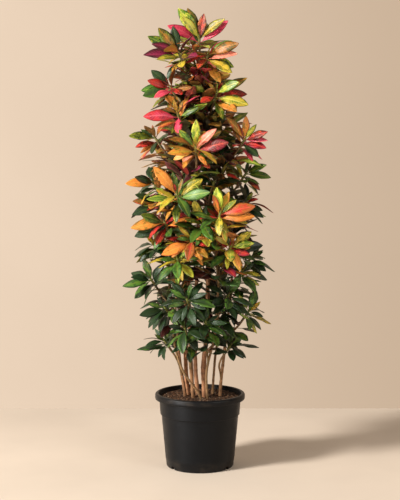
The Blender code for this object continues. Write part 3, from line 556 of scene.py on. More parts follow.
class Leaf:
    """One leaf: the face that it grows from, its tip, its tint and where its upper side looks."""

    fullness = 1.0

    def __init__(self, whorl, place, tip, tint, looks):
        self.place = place
        level, s = place
        self.corners = [whorl.corner(level, s), whorl.corner(level, s + 1),
                        whorl.corner(level + 1, s + 1), whorl.corner(level + 1, s)]
        self.root = sum(self.corners, Vector()) / 4
        self.spread(tip, tint, looks, whorl.ring_centre(level) - self.corners[0])
        edges = [self.corners[k - 3] - self.corners[k] for k in range(4)]
        fits = [edge.normalized().dot(self.across) for edge in edges]
        self.turn = fits.index(max(fits))
        self.corners = self.corners[self.turn:] + self.corners[:self.turn]

    def spread(self, tip, tint, looks, spare):
        """Lays the leaf from its root to its tip. Spare is used where looks runs along the leaf."""
        self.tip = tip
        self.tint = tint
        self.length = (tip - self.root).length
        self.along = (tip - self.root).normalized()
        if abs(self.along.dot(looks.normalized())) > 0.97:
            looks = spare
        self.across = looks.cross(self.along).normalized()
        self.up = self.along.cross(self.across)

    def section(self, share, half_width, keel, grow=0.0):
        """Keel, right and left point of the leaf, a share of the way to its tip."""
        lift = ARCH * self.length * math.sin(math.pi * share) ** 1.5
        centre = self.root + self.along * (self.length * share) + self.up * (lift + grow / 2)
        spread = self.across * (half_width + grow)
        return [centre - self.up * (keel + grow), centre + spread, centre - spread]

    def sections(self, grow=0.0):
        blade = self.fullness * LEAF_HALF_WIDTH * self.length
        return [
            self.section(PETIOLE_END, PETIOLE_HALF_WIDTH, KEEL, grow),
            self.section(WIDEST_AT, blade, KEEL, grow),
        ]

    def probe(self):
        """A slightly swollen copy of the leaf, just off its root's face, to test its clearance."""
        a, b, c, _ = self.corners
        lift = (b - a).cross(c - b).normalized() * ROOT_LIFT
        verts = [self.root.lerp(corner, ROOT_SHARE) + lift for corner in self.corners]
        verts += [point for station in self.sections(LEAF_CLEARANCE) for point in station]
        verts.append(self.tip + self.along * LEAF_CLEARANCE)
        return BVHTree.FromPolygons(verts, leaf_faces([0, 1, 2, 3], 4))


class LooseLeaf(Leaf):
    """A leaf that grows from the twig or from beside the bud, and may brush others with its margin."""

    fullness = 0.45

    def __init__(self, root, tip, tint, looks):
        self.root = root
        self.spread(tip, tint, looks, looks.orthogonal())
        side, rise = self.across * PETIOLE_RADIUS, self.up * PETIOLE_RADIUS
        self.corners = [root - side - rise, root + side - rise, root + side + rise, root - side + rise]


def leaf_faces(root, first):
    """The faces of a leaf on a root of four corners. Its own seven points start at number first."""
    a, b, c, d = root
    k, r, l, k2, r2, l2, tip = range(first, first + 7)
    return [
        [a, b, k], [b, c, r, k], [c, d, l, r], [d, a, k, l],
        [k, r, r2, k2], [r, l, l2, r2], [l, k, k2, l2],
        [k2, r2, tip], [r2, l2, tip], [l2, k2, tip],
    ]


def spline(points, step):
    """Evenly spaced points on a Catmull-Rom curve through points."""
    ends = [points[0] * 2 - points[1]] + list(points) + [points[-1] * 2 - points[-2]]
    path = []
    for i in range(1, len(ends) - 2):
        p0, p1, p2, p3 = ends[i - 1 : i + 3]
        count = max(1, round((p2 - p1).length / step))
        for k in range(count):
            t = k / count
            path.append(
                0.5 * (2 * p1 + (p2 - p0) * t + (2 * p0 - 5 * p1 + 4 * p2 - p3) * t * t
                       + (3 * p1 - p0 - 3 * p2 + p3) * t ** 3)
            )
    return path + [points[-1]]


def bezier(p0, p1, p2, p3, step):
    count = max(3, round((p3 - p0).length / step))
    path = []
    for k in range(count + 1):
        t = k / count
        u = 1 - t
        path.append(u ** 3 * p0 + 3 * u * u * t * p1 + 3 * u * t * t * p2 + t ** 3 * p3)
    return path


def stem_spine(letter, leader, step):
    """Centre line and radii of a stem, from its buried end to the foot of its top whorl."""
    x, y, foot_radius, passes = STEMS[letter]
    buried = Vector((x, y, SOIL_TOP - BURIED_DEPTH))
    surface = Vector((x, y, SOIL_TOP + 0.012))
    neck = leader.foot - leader.axis * TWIG_NECK
    points = [surface] + [Vector(p) for p in passes] + [neck - leader.axis * 0.06, neck]
    path = [buried] + spline(points, step) + [leader.foot - leader.axis * (GAP * 2)]
    top = len(path) - 1
    shares = [max(0.0, 1 - i / top) ** 0.8 for i in range(top + 1)]
    radii = [STEM_TIP_RADIUS + (foot_radius - STEM_TIP_RADIUS) * s for s in shares]
    radii[0] = radii[1] = foot_radius
    return path, radii


def fork(path, radii, whorl, drop):
    """The point of a spine that lies this far below the whorl, its direction and its radius."""
    height = whorl.foot.z - drop
    for i in range(1, len(path) - 1):
        low, high = path[i], path[i + 1]
        if low.z <= height < high.z:
            t = (height - low.z) / (high.z - low.z)
            return low.lerp(high, t), (high - low).normalized(), radii[i]
    return None


def branch_spine(path, radii, whorl, drop, step):
    """Centre line and radii of a side branch that leaves a stem and ends under a whorl."""
    found = fork(path, radii, whorl, drop)
    if found is None or found[0].z < SOIL_TOP + 0.06:
        return None
    start, direction, radius = found
    neck = whorl.foot - whorl.axis * TWIG_NECK
    reach = (neck - start).length
    aim = (direction + (neck - start).normalized()).normalized()
    branch = bezier(start, start + aim * reach * 0.35, neck - whorl.axis * reach * 0.35, neck, step)
    branch.append(whorl.foot - whorl.axis * (GAP * 2))
    top = len(branch) - 1
    thick = max(radius * BRANCH_SHARE, BRANCH_TIP_RADIUS)
    return branch, [thick + (BRANCH_TIP_RADIUS - thick) * i / top for i in range(top + 1)]


class Wood:
    """Beads along all stems, branches and whorl cores, to keep new branches clear of them."""

    def __init__(self):
        self.centres, self.radii, self.owners = [], [], []

    def add(self, path, radii, owner):
        for (p, q), (r, s) in zip(zip(path, path[1:]), zip(radii, radii[1:])):
            count = max(1, round((q - p).length / BEAD_STEP))
            for k in range(count):
                self.centres.append(tuple(p.lerp(q, k / count)))
                self.radii.append(r + (s - r) * k / count)
                self.owners.append(owner)

    def room(self, path, radii, owner, own_core):
        """The least space between a branch and all wood that isn't of the same stem."""
        others = np.array([o not in (owner, own_core) for o in self.owners])
        centres = np.array(self.centres)[others]
        widths = np.array(self.radii)[others]
        least = 1.0
        for point, radius in zip(path, radii):
            gaps = np.linalg.norm(centres - np.array(point), axis=1) - widths - radius
            least = min(least, float(gaps.min()))
        return least


def grow_stems(whorls, step):
    """Every stem as a list of (path, radii): its main line, then its branches."""
    wood = Wood()
    for whorl in whorls:
        tip = whorl.foot + whorl.axis * (CORE_BELOW + CORE_ABOVE + BUD_HEIGHT)
        wood.add([whorl.foot, tip], [CORE_BEAD_RADIUS] * 2, whorl.name)
    stems = {}
    for letter in STEMS:
        leader = max((w for w in whorls if w.stem == letter), key=lambda w: w.middle.z)
        path, radii = stem_spine(letter, leader, step)
        stems[letter] = [(path, radii)]
        wood.add(path, radii, letter)
        leader.twig = letter, 0
    for whorl in whorls:
        if whorl.twig:
            continue
        path, radii = stems[whorl.stem][0]
        choices = []
        for drop in FORK_DROPS:
            branch = branch_spine(path, radii, whorl, drop, step * 0.6)
            if branch is not None:
                beads = branch_spine(path, radii, whorl, drop, BEAD_STEP)
                room = wood.room(*beads, whorl.stem, whorl.name)
                choices.append((min(room, STEM_CLEARANCE), branch))
        _, branch = max(choices, key=lambda choice: choice[0])
        whorl.twig = whorl.stem, len(stems[whorl.stem])
        stems[whorl.stem].append(branch)
        wood.add(*branch, whorl.stem)
    return stems


class Canopy:
    """The leaves placed so far, and the wood that they keep clear of."""

    def __init__(self, whorls, stems):
        self.placed = []
        self.wood = {}
        for letter, spines in stems.items():
            for i, (path, radii) in enumerate(spines):
                tube = tube_data(path, [r + LEAF_CLEARANCE for r in radii])
                self.wood[letter, i] = BVHTree.FromPolygons(*tube)
        for whorl in whorls:
            self.wood[whorl.name] = BVHTree.FromPolygons(*core_data(whorl))

    def clear(self, leaf, whorl):
        """Whether a leaf of this whorl has room. If it has, it is kept."""
        probe = leaf.probe()
        middle = leaf.root.lerp(leaf.tip, 0.5)
        loose = isinstance(leaf, LooseLeaf)
        own = (whorl.name, whorl.twig) if loose else ()
        if any(probe.overlap(tree) for name, tree in self.wood.items() if name not in own):
            return False
        for other, other_middle, reach in self.placed:
            if (middle - other_middle).length < reach + leaf.length * 0.55 and probe.overlap(other):
                return False
        if not loose and tangled(*whorl_data(whorl, whorl.leaves + [leaf])):
            return False
        self.placed.append((probe, middle, leaf.length * 0.55))
        return True


def core_data(whorl):
    verts = [whorl.corner(k, s) for k in range(CORE_LEVELS + 1) for s in range(CORE_SIDES)]
    top = whorl.ring_centre(CORE_LEVELS) + whorl.axis * BUD_HEIGHT
    verts.append(top)
    apex = len(verts) - 1
    faces = [list(range(CORE_SIDES))[::-1]]
    last = CORE_LEVELS * CORE_SIDES
    for s in range(CORE_SIDES):
        faces.append([last + s, last + (s + 1) % CORE_SIDES, apex])
    for level in range(CORE_LEVELS):
        for s in range(CORE_SIDES):
            faces.append(face_corners(level, s))
    return verts, faces


def whorl_data(whorl, leaves):
    """Vertices and triangles of a core with leaves, each grown out of one face of the core."""
    verts, faces = core_data(whorl)
    for leaf in leaves:
        root = face_corners(*leaf.place)
        faces.remove(root)
        faces += leaf_faces(root[leaf.turn:] + root[:leaf.turn], len(verts))
        verts += [point for station in leaf.sections() for point in station] + [leaf.tip]
    return verts, [[face[0], *face[i : i + 2]] for face in faces for i in range(1, len(face) - 1)]


def tangled(verts, triangles):
    """Whether a mesh crosses itself."""
    tree = BVHTree.FromPolygons(verts, triangles)
    pairs = ((triangles[a], triangles[b]) for a, b in tree.overlap(tree) if a < b)
    return any(not set(one) & set(other) for one, other in pairs)


def face_corners(level, s):
    low, high = level * CORE_SIDES, (level + 1) * CORE_SIDES
    nxt = (s + 1) % CORE_SIDES
    return [low + s, low + nxt, high + nxt, high + s]


def level_for(whorl, direction):
    """Leaves that stand up grow high on the core, and those that hang grow low."""
    rise = direction.dot(whorl.axis)
    return min(CORE_LEVELS - 1, max(1, round(1.9 + 1.3 * rise)))


def try_leaf(canopy, whorl, tip, tint, looks):
    direction = (tip - whorl.middle).normalized()
    place = whorl.nearest_face(direction, level_for(whorl, direction))
    if place is None:
        return False
    leaf = Leaf(whorl, place, tip, tint, looks)
    shortest, longest = LEAF_LIMITS
    if tip.y < FRONT_LIMIT or tip.z < LOWEST_TIP or not shortest < leaf.length < longest:
        return False
    if not canopy.clear(leaf, whorl):
        return False
    whorl.free.discard(place)
    whorl.leaves.append(leaf)
    return True


def show_tip(whorl, angle, reach, forward):
    """The tip of a show leaf: its place as seen from the front, and how far it comes forward."""
    flat = Vector((math.cos(math.radians(angle)), 0.0, math.sin(math.radians(angle)))) * reach / 1000
    return whorl.middle + flat + Vector((0.0, -forward * reach / 1000, 0.0))


def grow_show_leaves(canopy, whorl):
    """The leaves that turn their upper sides to the front."""
    looks = whorl.axis * 0.6 + Vector((0.0, -0.9, 0.0))
    for tint, angle, reach in whorl.show:
        forward = 0.25 if math.sin(math.radians(angle)) > 0.5 else 0.5
        forward += max(0.0, 0.085 - reach / 1000) * 8
        for turn, ahead, share in SHOW_SHIFTS:
            tip = show_tip(whorl, angle + turn, reach * share, forward * ahead)
            if try_leaf(canopy, whorl, tip, tint, looks):
                break


def grow_other_leaves(canopy, whorl, chance):
    """Fills the whorl up by the golden angle, from its hanging leaves to its young upright ones."""
    wanted = LEAF_COUNT - len(whorl.leaves)
    turns = LEAF_COUNT + 4
    phase = chance.uniform(0, math.tau)
    for i in range(turns):
        if wanted <= 0:
            break
        ripe = 1 - (i + 0.5) / turns
        tint = whorl.tints[chance.randrange(len(whorl.tints))]
        sway = Vector((chance.uniform(-1, 1), chance.uniform(-1, 1), 0.35))
        looks = whorl.axis + sway * LEAF_SWAY
        length = LEAF_LENGTH * (0.78 + 0.3 * math.sin(math.pi * ripe) + chance.uniform(-0.05, 0.05))
        for turn, open_more, share in OTHER_SHIFTS:
            bearing = phase + i * GOLDEN_ANGLE + turn
            opening = math.radians(28 + 85 * ripe) + open_more
            direction = spoke_at(opening, whorl.axis, whorl.spoke(bearing))
            base = whorl.ring_centre(level_for(whorl, direction) + 0.5)
            if try_leaf(canopy, whorl, base + direction * length * share, tint, looks):
                wanted -= 1
                break


def grow_bush(step):
    """The whorls with their leaves, and the stems, worked out in one fixed order."""
    chance = random.Random(GROWTH_SEED)
    whorls = [Whorl(i + 1, row) for i, row in enumerate(WHORLS)]
    stems = grow_stems(whorls, step)
    canopy = Canopy(whorls, stems)
    for whorl in whorls:
        grow_show_leaves(canopy, whorl)
    for whorl in whorls:
        grow_other_leaves(canopy, whorl, chance)
    return whorls, stems, canopy


# ---------------------------------------------------------------- meshes


class Shell:
    """Vertices, faces and their marks, gathered for one object."""

    def __init__(self):
        self.verts, self.faces, self.uvs, self.slots, self.marks = [], [], [], [], {}

    def add(self, verts, faces, slots=0, uvs=None, **marks):
        """marks are the same for all these vertices, or one for each."""
        first, count = len(self.verts), len(verts)
        self.verts += [tuple(v) for v in verts]
        self.faces += [[first + i for i in face] for face in faces]
        self.slots += slots if isinstance(slots, list) else [slots] * len(faces)
        self.uvs += [tuple(uv) for uv in uvs] if uvs is not None else [(0.5, 0.5)] * count
        for name, value in marks.items():
            values = self.marks.setdefault(name, [])
            blank = (0.0,) * 4 if isinstance(value, tuple) else 0.0
            values += [blank] * (first - len(values))
            values += value if isinstance(value, list) else [value] * count

    def object(self, name, materials):
        mesh = bpy.data.meshes.new(name)
        mesh.from_pydata(self.verts, [], self.faces)
        mesh.polygons.foreach_set("material_index", self.slots)
        layer = mesh.uv_layers.new(name="blade")
        corners = np.empty(len(mesh.loops), np.int32)
        mesh.loops.foreach_get("vertex_index", corners)
        layer.uv.foreach_set("vector", np.array(self.uvs, np.float32)[corners].ravel())
        for key, values in self.marks.items():
            coloured = any(isinstance(value, tuple) for value in values)
            blank = (0.0,) * 4 if coloured else 0.0
            values = values + [blank] * (len(self.verts) - len(values))
            kind, field = ("FLOAT_COLOR", "color") if coloured else ("FLOAT", "value")
            data = mesh.attributes.new(key, kind, "POINT").data
            data.foreach_set(field, np.array(values, np.float32).ravel())
        for material in materials:
            mesh.materials.append(material)
        mesh.shade_smooth()
        obj = bpy.data.objects.new(name, mesh)
        bpy.context.scene.collection.objects.link(obj)
        return obj


def settle(piece, slot, *nodes):
    """The piece belongs to the plant's one body and stands for CAD nodes. Its slot is not used."""
    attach(piece, "root")
    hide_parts(*nodes)


# ---------------------------------------------------------------- leaves


def smooth_step(value, low, high):
    share = np.clip((value - low) / (high - low), 0.0, 1.0)
    return share * share * (3 - 2 * share)


def blade_outline(share):
    """Half the blade's width at a share of the leaf's length, as a part of its widest."""
    s = np.clip((share - BLADE_START) / (1 - BLADE_START), 0.0, 1.0)
    return np.sin(np.pi * s ** 1.08) ** 0.82


def leaf_mesh(leaf, chance, width):
    """Points, faces, blade coordinates and material slots of one leaf, as a closed thin shell."""
    t = np.array(BLADE_STATIONS)[:, None]
    u = np.array(BLADE_ACROSS)[None, :]
    fold = chance.uniform(0.05, 0.28)
    cup = chance.uniform(-0.30, 0.02)
    wave = chance.uniform(0.0, 0.10)
    beats = chance.uniform(2.0, 3.4)
    phases = chance.uniform(0, WAVE_TURN), chance.uniform(0, WAVE_TURN)
    droop = chance.uniform(-0.02, 0.07)
    bend = chance.uniform(-0.05, 0.05)
    twist = chance.uniform(-0.35, 0.35)
    half = width * leaf.length * blade_outline(t)
    blend = smooth_step(t, 0.09, 0.20)
    wide = np.maximum(half, PETIOLE_RADIUS * (1 - 0.3 * blend))
    left, right = (np.sin(beats * WAVE_TURN * t + phase) for phase in phases)
    ripple = np.where(u < 0, left, right)
    sheet = half * (fold * np.abs(u) + cup * u * u) + wave * half * u * u * ripple
    sheet = sheet - 0.0004 * np.exp(-((u / 0.1) ** 2))
    rounded = np.sqrt(np.clip(1 - u * u, 0, 1))
    rib = 0.0011 * (1.1 - t) * np.exp(-((u / 0.16) ** 2))
    thickness = np.where(np.abs(u) < 0.99, BLADE_THICKNESS, 0.0)
    petiole = PETIOLE_RADIUS * rounded
    top = (1 - blend) * petiole + blend * sheet
    bottom = -(1 - blend) * petiole + blend * (sheet - thickness - rib)
    edge = np.abs(np.abs(u) - 1) < 1e-6
    bottom = np.where(edge, top, bottom)
    along, across, up = (np.array(v) for v in (leaf.along, leaf.across, leaf.up))
    root = np.array(leaf.root)

    def spot(t, sideways, height):
        lift = ARCH * leaf.length * np.sin(np.pi * t) ** 1.5 - droop * leaf.length * t ** 3
        shift = bend * leaf.length * t ** 2
        turn = twist * t
        dx = sideways * np.cos(turn) - height * np.sin(turn) + shift
        dz = sideways * np.sin(turn) + height * np.cos(turn) + lift
        return root + (t * leaf.length)[..., None] * along + dx[..., None] * across + dz[..., None] * up

    full = np.broadcast_to(t, top.shape)
    upper = spot(full, wide * u, top)
    under = spot(full, wide * u, bottom)[:, -2:0:-1]
    rings = np.concatenate([upper, under], axis=1)
    across_all = np.concatenate([u[0], u[0][-2:0:-1]])
    count, around = rings.shape[:2]
    tip = spot(np.array([1.0]), np.array([0.0]), np.array([0.0]))
    verts = np.concatenate([rings.reshape(-1, 3), tip])
    uvs = [((a + 1) / 2, s) for s in BLADE_STATIONS for a in across_all] + [(0.5, 1.0)]
    faces, slots = [], []
    tops = len(BLADE_ACROSS) - 1
    for i in range(count):
        for k in range(around):
            a, b = i * around + k, i * around + (k + 1) % around
            faces.append([b, a, a + around, b + around] if i < count - 1 else [b, a, count * around])
            slots.append(UPPER_SLOT if k < tops else UNDER_SLOT)
    faces.append(list(range(around)))
    slots.append(UNDER_SLOT)
    return verts, faces, uvs, slots


def leaf_marks(tint, height, chance):
    """The colours of one leaf, a little off its letter's. Green leaves low down stay green."""
    blade, blotch, vein, share, rims = TINTS[tint]
    if tint in "GK" and height < VARIEGATED_ABOVE:
        rims = "KGK"
        vein = tuple(c * 0.5 for c in vein)
    flush = TINTS[chance.choice(rims)][0]
    light = chance.uniform(0.82, 1.16)
    warm = chance.uniform(-0.10, 0.10)
    nudge = (1 + warm, 1 - warm * 0.6, 1 - warm * 0.5)
    blade, blotch, vein, flush = (
        tuple(c * light * n for c, n in zip(colour, nudge)) for colour in (blade, blotch, vein, flush)
    )
    return {
        "tint": (*blade, share * chance.uniform(0.5, 1.5)),
        "vein": (*vein, chance.random()),
        "blotch": (*blotch, 1.0),
        "flush": (*flush, chance.random()),
    }


def shoot_shell(shell, whorl):
    """The whorl's stout tip, ringed with leaf scars, with a pointed bud."""
    sides, rings = 12, 26
    total = CORE_BELOW + CORE_ABOVE + BUD_HEIGHT
    verts, ages = [], []
    for i in range(rings):
        share = i / (rings - 1)
        height = total * share
        taper = 0.0045 if share < 0.75 else 0.0045 * (1 - (share - 0.75) / 0.25) ** 0.8 + 0.0002
        radius = taper * (1 + 0.07 * math.sin(height * 2200))
        for k in range(sides):
            spoke = whorl.spoke(math.tau * k / sides)
            verts.append(whorl.foot + whorl.axis * height + spoke * radius)
            ages.append(1 - share)
    shell.add(verts, tube_faces(rings, sides), SHOOT_SLOT, age=ages)


def storey_of(whorl):
    """Tints, reaches, rise and size of the extra leaves at this whorl's height."""
    return next(row[1:] for row in STOREYS if whorl.middle.z > row[0])


def young_leaves(canopy, whorl, chance):
    """Small upright leaves round the bud, each where it finds room."""
    made = []
    size = min(LARGEST_YOUNG, storey_of(whorl)[-1])
    for i, length in enumerate(YOUNG_LENGTHS):
        tint = chance.choice(whorl.tints)
        for turn, open_more, share in YOUNG_SHIFTS:
            bearing = i * GOLDEN_ANGLE + whorl.number + turn
            opening = math.radians(12 + 9 * i + open_more)
            spoke = whorl.spoke(bearing)
            root = whorl.ring_centre(CORE_LEVELS) + spoke * YOUNG_ROOT
            reach = spoke_at(opening, whorl.axis, spoke) * length * size * share
            leaf = LooseLeaf(root, root + reach, tint, whorl.axis * 0.4 - spoke)
            if canopy.clear(leaf, whorl):
                made.append(leaf)
                break
    return made


def twig_leaves(canopy, whorl, path, chance):
    """Older leaves along the twig below the whorl, darker and hanging lower."""
    made = []
    palette, reach, bright_reach, rise, size = storey_of(whorl)
    distance, i = FIRST_TWIG_LEAF, 0
    while distance < reach:
        point, direction = place_back(path, distance)
        side, other = ring_frame(direction, Vector((1.0, 0.0, 0.0)))
        for turn, opening, share in TWIG_LEAF_SHIFTS:
            bearing = i * GOLDEN_ANGLE + whorl.number + turn
            spoke = spoke_at(bearing, side, other)
            wide = math.radians(opening - rise)
            length = LEAF_LENGTH * size * share * chance.uniform(0.85, 1.05)
            heading = spoke_at(wide, direction, spoke)
            root = point + spoke * TWIG_LEAF_ROOT
            looks = Vector((chance.uniform(-0.5, 0.5), chance.uniform(-0.5, 0.5), 1.0)) + spoke * 0.3
            near = distance < bright_reach and chance.random() < BRIGHT_CHANCE
            tint = chance.choice(whorl.tints if near else palette)
            leaf = LooseLeaf(root, root + heading * length, tint, looks)
            high = point.z > LOWEST_TWIG_LEAF and leaf.tip.z > LOWEST_TIP
            if high and inside(leaf.tip) and canopy.clear(leaf, whorl):
                made.append(leaf)
                break
        distance += TWIG_LEAF_STEP
        i += 1
    return made


def inside(point):
    """Whether a point is well within the CAD model's box."""
    low, high = CAD_BOX
    return all(a + BOX_MARGIN < p < b - BOX_MARGIN for a, p, b in zip(low, point, high))


def place_back(path, distance):
    """The point of a path this far before its end, and the direction there."""
    for low, high in zip(path[-2::-1], path[:0:-1]):
        span = (high - low).length
        if distance <= span:
            return high.lerp(low, distance / span), (high - low).normalized()
        distance -= span
    return path[0], (path[1] - path[0]).normalized()


def make_whorl(whorl, more, materials, slot, chance):
    shell = Shell()
    for leaf in whorl.leaves + more:
        young = leaf.length < YOUNG_BELOW
        width = LEAF_HALF_WIDTH * (YOUNG_FULLNESS if young else chance.uniform(0.94, 1.12))
        verts, faces, uvs, slots = leaf_mesh(leaf, chance, width)
        shell.add(verts, faces, slots, uvs, **leaf_marks(leaf.tint, leaf.tip.z, chance))
    shoot_shell(shell, whorl)
    name = whorl.name.replace("leaf_whorl", "leaves")
    settle(shell.object(name, materials), slot, whorl.name)


# ---------------------------------------------------------------- stems


def make_stem(letter, spines, bark, chance):
    """A stem and its branches: knobbly at the old leaf scars, with a swollen collar at each fork."""
    shell = Shell()
    for number, (path, radii) in enumerate(spines):
        fine = spline(path, STEM_FINE_STEP)
        share = np.linspace(0, 1, len(path))
        spread = np.interp(np.linspace(0, 1, len(fine)), share, radii)
        seed = chance.uniform(0, 50)
        walked, knobbly, ages, scars = 0.0, [], [], []
        for i, point in enumerate(fine):
            if i:
                walked += (point - fine[i - 1]).length
            knot = abs((walked / KNOT_SPACING + 0.3 * noise.noise((walked * 9, seed, 0))) % 1 - 0.5)
            scar = max(0.0, 1 - knot / 0.16)
            lump = 1 + 0.10 * scar + 0.12 * noise.noise(point * 22)
            collar = 1 + 0.35 * max(0.0, 1 - walked / 0.03) if number else 1
            knobbly.append(float(spread[i]) * lump * collar)
            ages += [min(1.0, max(0.0, (float(spread[i]) - 0.0036) / 0.004))] * STEM_FINE_SIDES
            scars += [scar * 0.9] * STEM_FINE_SIDES
        verts, faces = tube_data(fine, knobbly, STEM_FINE_SIDES)
        wobble = [v + 0.0006 * noise.noise_vector(v * 90) for v in verts]
        shell.add(wobble, faces, 0, age=ages, scar=scars)
    name = f"stem_{letter.lower()}"
    settle(shell.object(f"bark_{name}", [bark]), "bark", name)


# ---------------------------------------------------------------- pot and potting mix


def arc(centre, radius, start, end, steps):
    """Points of an arc in the (radius, z) plane, angles in degrees."""
    angles = [math.radians(start + (end - start) * i / steps) for i in range(steps + 1)]
    return [(centre[0] + radius * math.cos(a), centre[1] + radius * math.sin(a)) for a in angles]


def circle(radius, steps):
    """Points x, y on a circle about the origin."""
    angles = [math.tau * k / steps for k in range(steps)]
    return [(radius * math.cos(a), radius * math.sin(a)) for a in angles]


def turned(profile, steps):
    """Vertices and faces of a body turned about Z. The profile runs with the solid on its left."""
    verts, rings = [], []
    for radius, z in profile:
        if radius == 0.0:
            rings.append([len(verts)] * steps)
            verts.append((0.0, 0.0, z))
            continue
        rings.append([len(verts) + i for i in range(steps)])
        verts += [(x, y, z) for x, y in circle(radius, steps)]
    faces = []
    for low, high in zip(rings, rings[1:] + rings[:1]):
        for i in range(steps):
            j = (i + 1) % steps
            corners = dict.fromkeys((low[i], low[j], high[j], high[i]))
            if len(corners) > 2:
                faces.append(list(corners))
    return verts, faces


def wall_radius(z):
    """Outer radius of the pot's body under the rim, at a height."""
    for (z0, r0), (z1, r1) in zip(WALL_PROFILE, WALL_PROFILE[1:]):
        if z <= z1:
            return r0 + (r1 - r0) * (z - z0) / (z1 - z0)
    return WALL_PROFILE[-1][1]


def make_pot(plastic):
    """The nursery pot: a rounded rim over a channel, a collar, a taper and a foot with drain slots."""
    skirt = RIM_RADIUS - RIM_SKIN
    channel_top = POT_HEIGHT - 0.004
    neck = WALL_PROFILE[-1][1]
    bead = 0.0006
    profile = [(0.0, FLOOR_UNDERSIDE), (FOOT_INNER_RADIUS - 0.0025, FLOOR_UNDERSIDE)]
    profile += [(FOOT_INNER_RADIUS - 0.0006, 0.0005), (FOOT_INNER_RADIUS, 0.0)]
    profile += arc((FOOT_RADIUS - 0.0004, 0.0034), 0.0034, -90, -8, 5)
    profile += [(wall_radius(0.027), 0.0270), (wall_radius(0.029) + bead, 0.0285)]
    profile += [(wall_radius(z) + bead * (1 - i / 12), z) for i, z in enumerate(np.linspace(0.04, 0.192, 12))]
    profile += arc((wall_radius(0.200) + 0.0036, 0.1985), 0.0036, 180, 100, 4)
    profile += arc((wall_radius(0.203) - 0.0012, 0.2032), 0.0012, -70, 10, 3)
    profile += [(wall_radius(z), z) for z in np.linspace(0.212, 0.255, 5)]
    profile += arc((neck + 0.0018, RIM_BOTTOM - 0.001), 0.0018, 180, 120, 3)
    profile += [(neck + 0.0015, channel_top), (skirt, channel_top), (skirt, RIM_BOTTOM + 0.0006)]
    profile += arc((skirt + 0.0012, RIM_BOTTOM + 0.0012), 0.0012, -160, -20, 4)
    profile += arc((RIM_RADIUS - 0.0060, RIM_BOTTOM + 0.0062), 0.0060, -12, 0, 2)
    profile += arc((RIM_RADIUS - 0.0085, POT_HEIGHT - 0.0085), 0.0085, 6, 90, 9)
    profile += arc((neck + 0.0055, POT_HEIGHT - 0.0032), 0.0032, 90, 178, 5)
    profile += [(wall_radius(0.261) - WALL + 0.0012, 0.2640), (wall_radius(0.258) - WALL, 0.2580)]
    profile += [(wall_radius(z) - WALL, z) for z in (0.207, 0.196, FLOOR_TOP)]
    profile += [(0.0, FLOOR_TOP)]
    shell = Shell()
    verts, faces = turned(profile, POT_STEPS)
    shell.add(verts, faces)
    pot = shell.object("nursery_pot", [plastic])
    for bearing in DRAIN_BEARINGS:
        cut_drain(pot, bearing)
    pot.data.set_sharp_from_angle(angle=math.radians(35))
    settle(pot, "pot_plastic", "pot")


def cut_drain(pot, bearing):
    """A slot with rounded shoulders through the foot, the wall and the floor's edge."""
    half, corner, below = DRAIN_WIDTH / 2, 0.0045, -0.002
    outline = [(-half, below), (half, below)]
    outline += arc((half - corner, DRAIN_TOP - corner), corner, 0, 90, 5)
    outline += arc((-half + corner, DRAIN_TOP - corner), corner, 90, 180, 5)
    turn = Matrix.Rotation(math.radians(bearing), 4, "Z")
    verts = [turn @ Vector((r, y, z)) for r in DRAIN_REACH for y, z in outline]
    count = len(outline)
    faces = [[i, (i + 1) % count, (i + 1) % count + count, i + count] for i in range(count)]
    faces += [list(range(count))[::-1], [i + count for i in range(count)]]
    shell = Shell()
    shell.add(verts, faces)
    cutter = shell.object("drain_cutter", [])
    modifier = pot.modifiers.new("drain", "BOOLEAN")
    modifier.operation = "DIFFERENCE"
    modifier.object = cutter
    modifier.solver = "EXACT"
    graph = bpy.context.evaluated_depsgraph_get()
    result = bpy.data.meshes.new_from_object(pot.evaluated_get(graph))
    pot.modifiers.clear()
    pot.data = result
    bpy.data.objects.remove(cutter)


def soil_surface(x, y):
    share = 1 - math.hypot(x, y) / 0.15
    waves = math.sin(61 * x + 1.0) * math.cos(53 * y) + 0.5 * math.sin(117 * y + 2.0)
    lumps = 0.0016 * noise.noise((x * 150, y * 150, 3.0)) + 0.0008 * noise.noise((x * 400, y * 400, 9.0))
    return SOIL_TOP + SOIL_SWELL * max(0.0, share) * (1.2 + waves) + lumps


def make_soil(mix):
    """The bed of fine peat that fills the pot."""
    steps, rings = 120, 46
    edge = wall_radius(SOIL_EDGE_LEVEL) - WALL - SOIL_SIDE_GAP
    verts, faces = [(0.0, 0.0, soil_surface(0, 0))], []
    for i in range(1, rings + 1):
        verts += [(x, y, soil_surface(x, y)) for x, y in circle(edge * i / rings, steps)]
    floor = [(0.196, wall_radius(0.196)), (FLOOR_TOP + GAP, wall_radius(FLOOR_TOP))]
    for z, radius in floor:
        verts += [(x, y, z) for x, y in circle(radius - WALL - SOIL_SIDE_GAP, steps)]
    for k in range(steps):
        faces.append([0, 1 + k, 1 + (k + 1) % steps])
    for i in range(rings + 1):
        for k in range(steps):
            a, b = 1 + i * steps + k, 1 + i * steps + (k + 1) % steps
            faces.append([a, a + steps, b + steps, b])
    faces.append([1 + (rings + 1) * steps + k for k in range(steps)][::-1])
    shell = Shell()
    own = [(*[c * (0.8 + 0.5 * noise.noise((x * 60, y * 60, 0))) for c in (0.055, 0.028, 0.015)], 1.0)
           for x, y, _ in verts]
    shell.add(verts, faces, 0, own=own)
    settle(shell.object("potting_mix", [mix]), "potting_mix", "soil")


CHIP_BROWNS = ((0.15, 0.065, 0.030), (0.22, 0.105, 0.050), (0.095, 0.040, 0.019), (0.30, 0.165, 0.090),
               (0.18, 0.080, 0.036), (0.04, 0.021, 0.012), (0.09, 0.045, 0.024), (0.42, 0.29, 0.19))


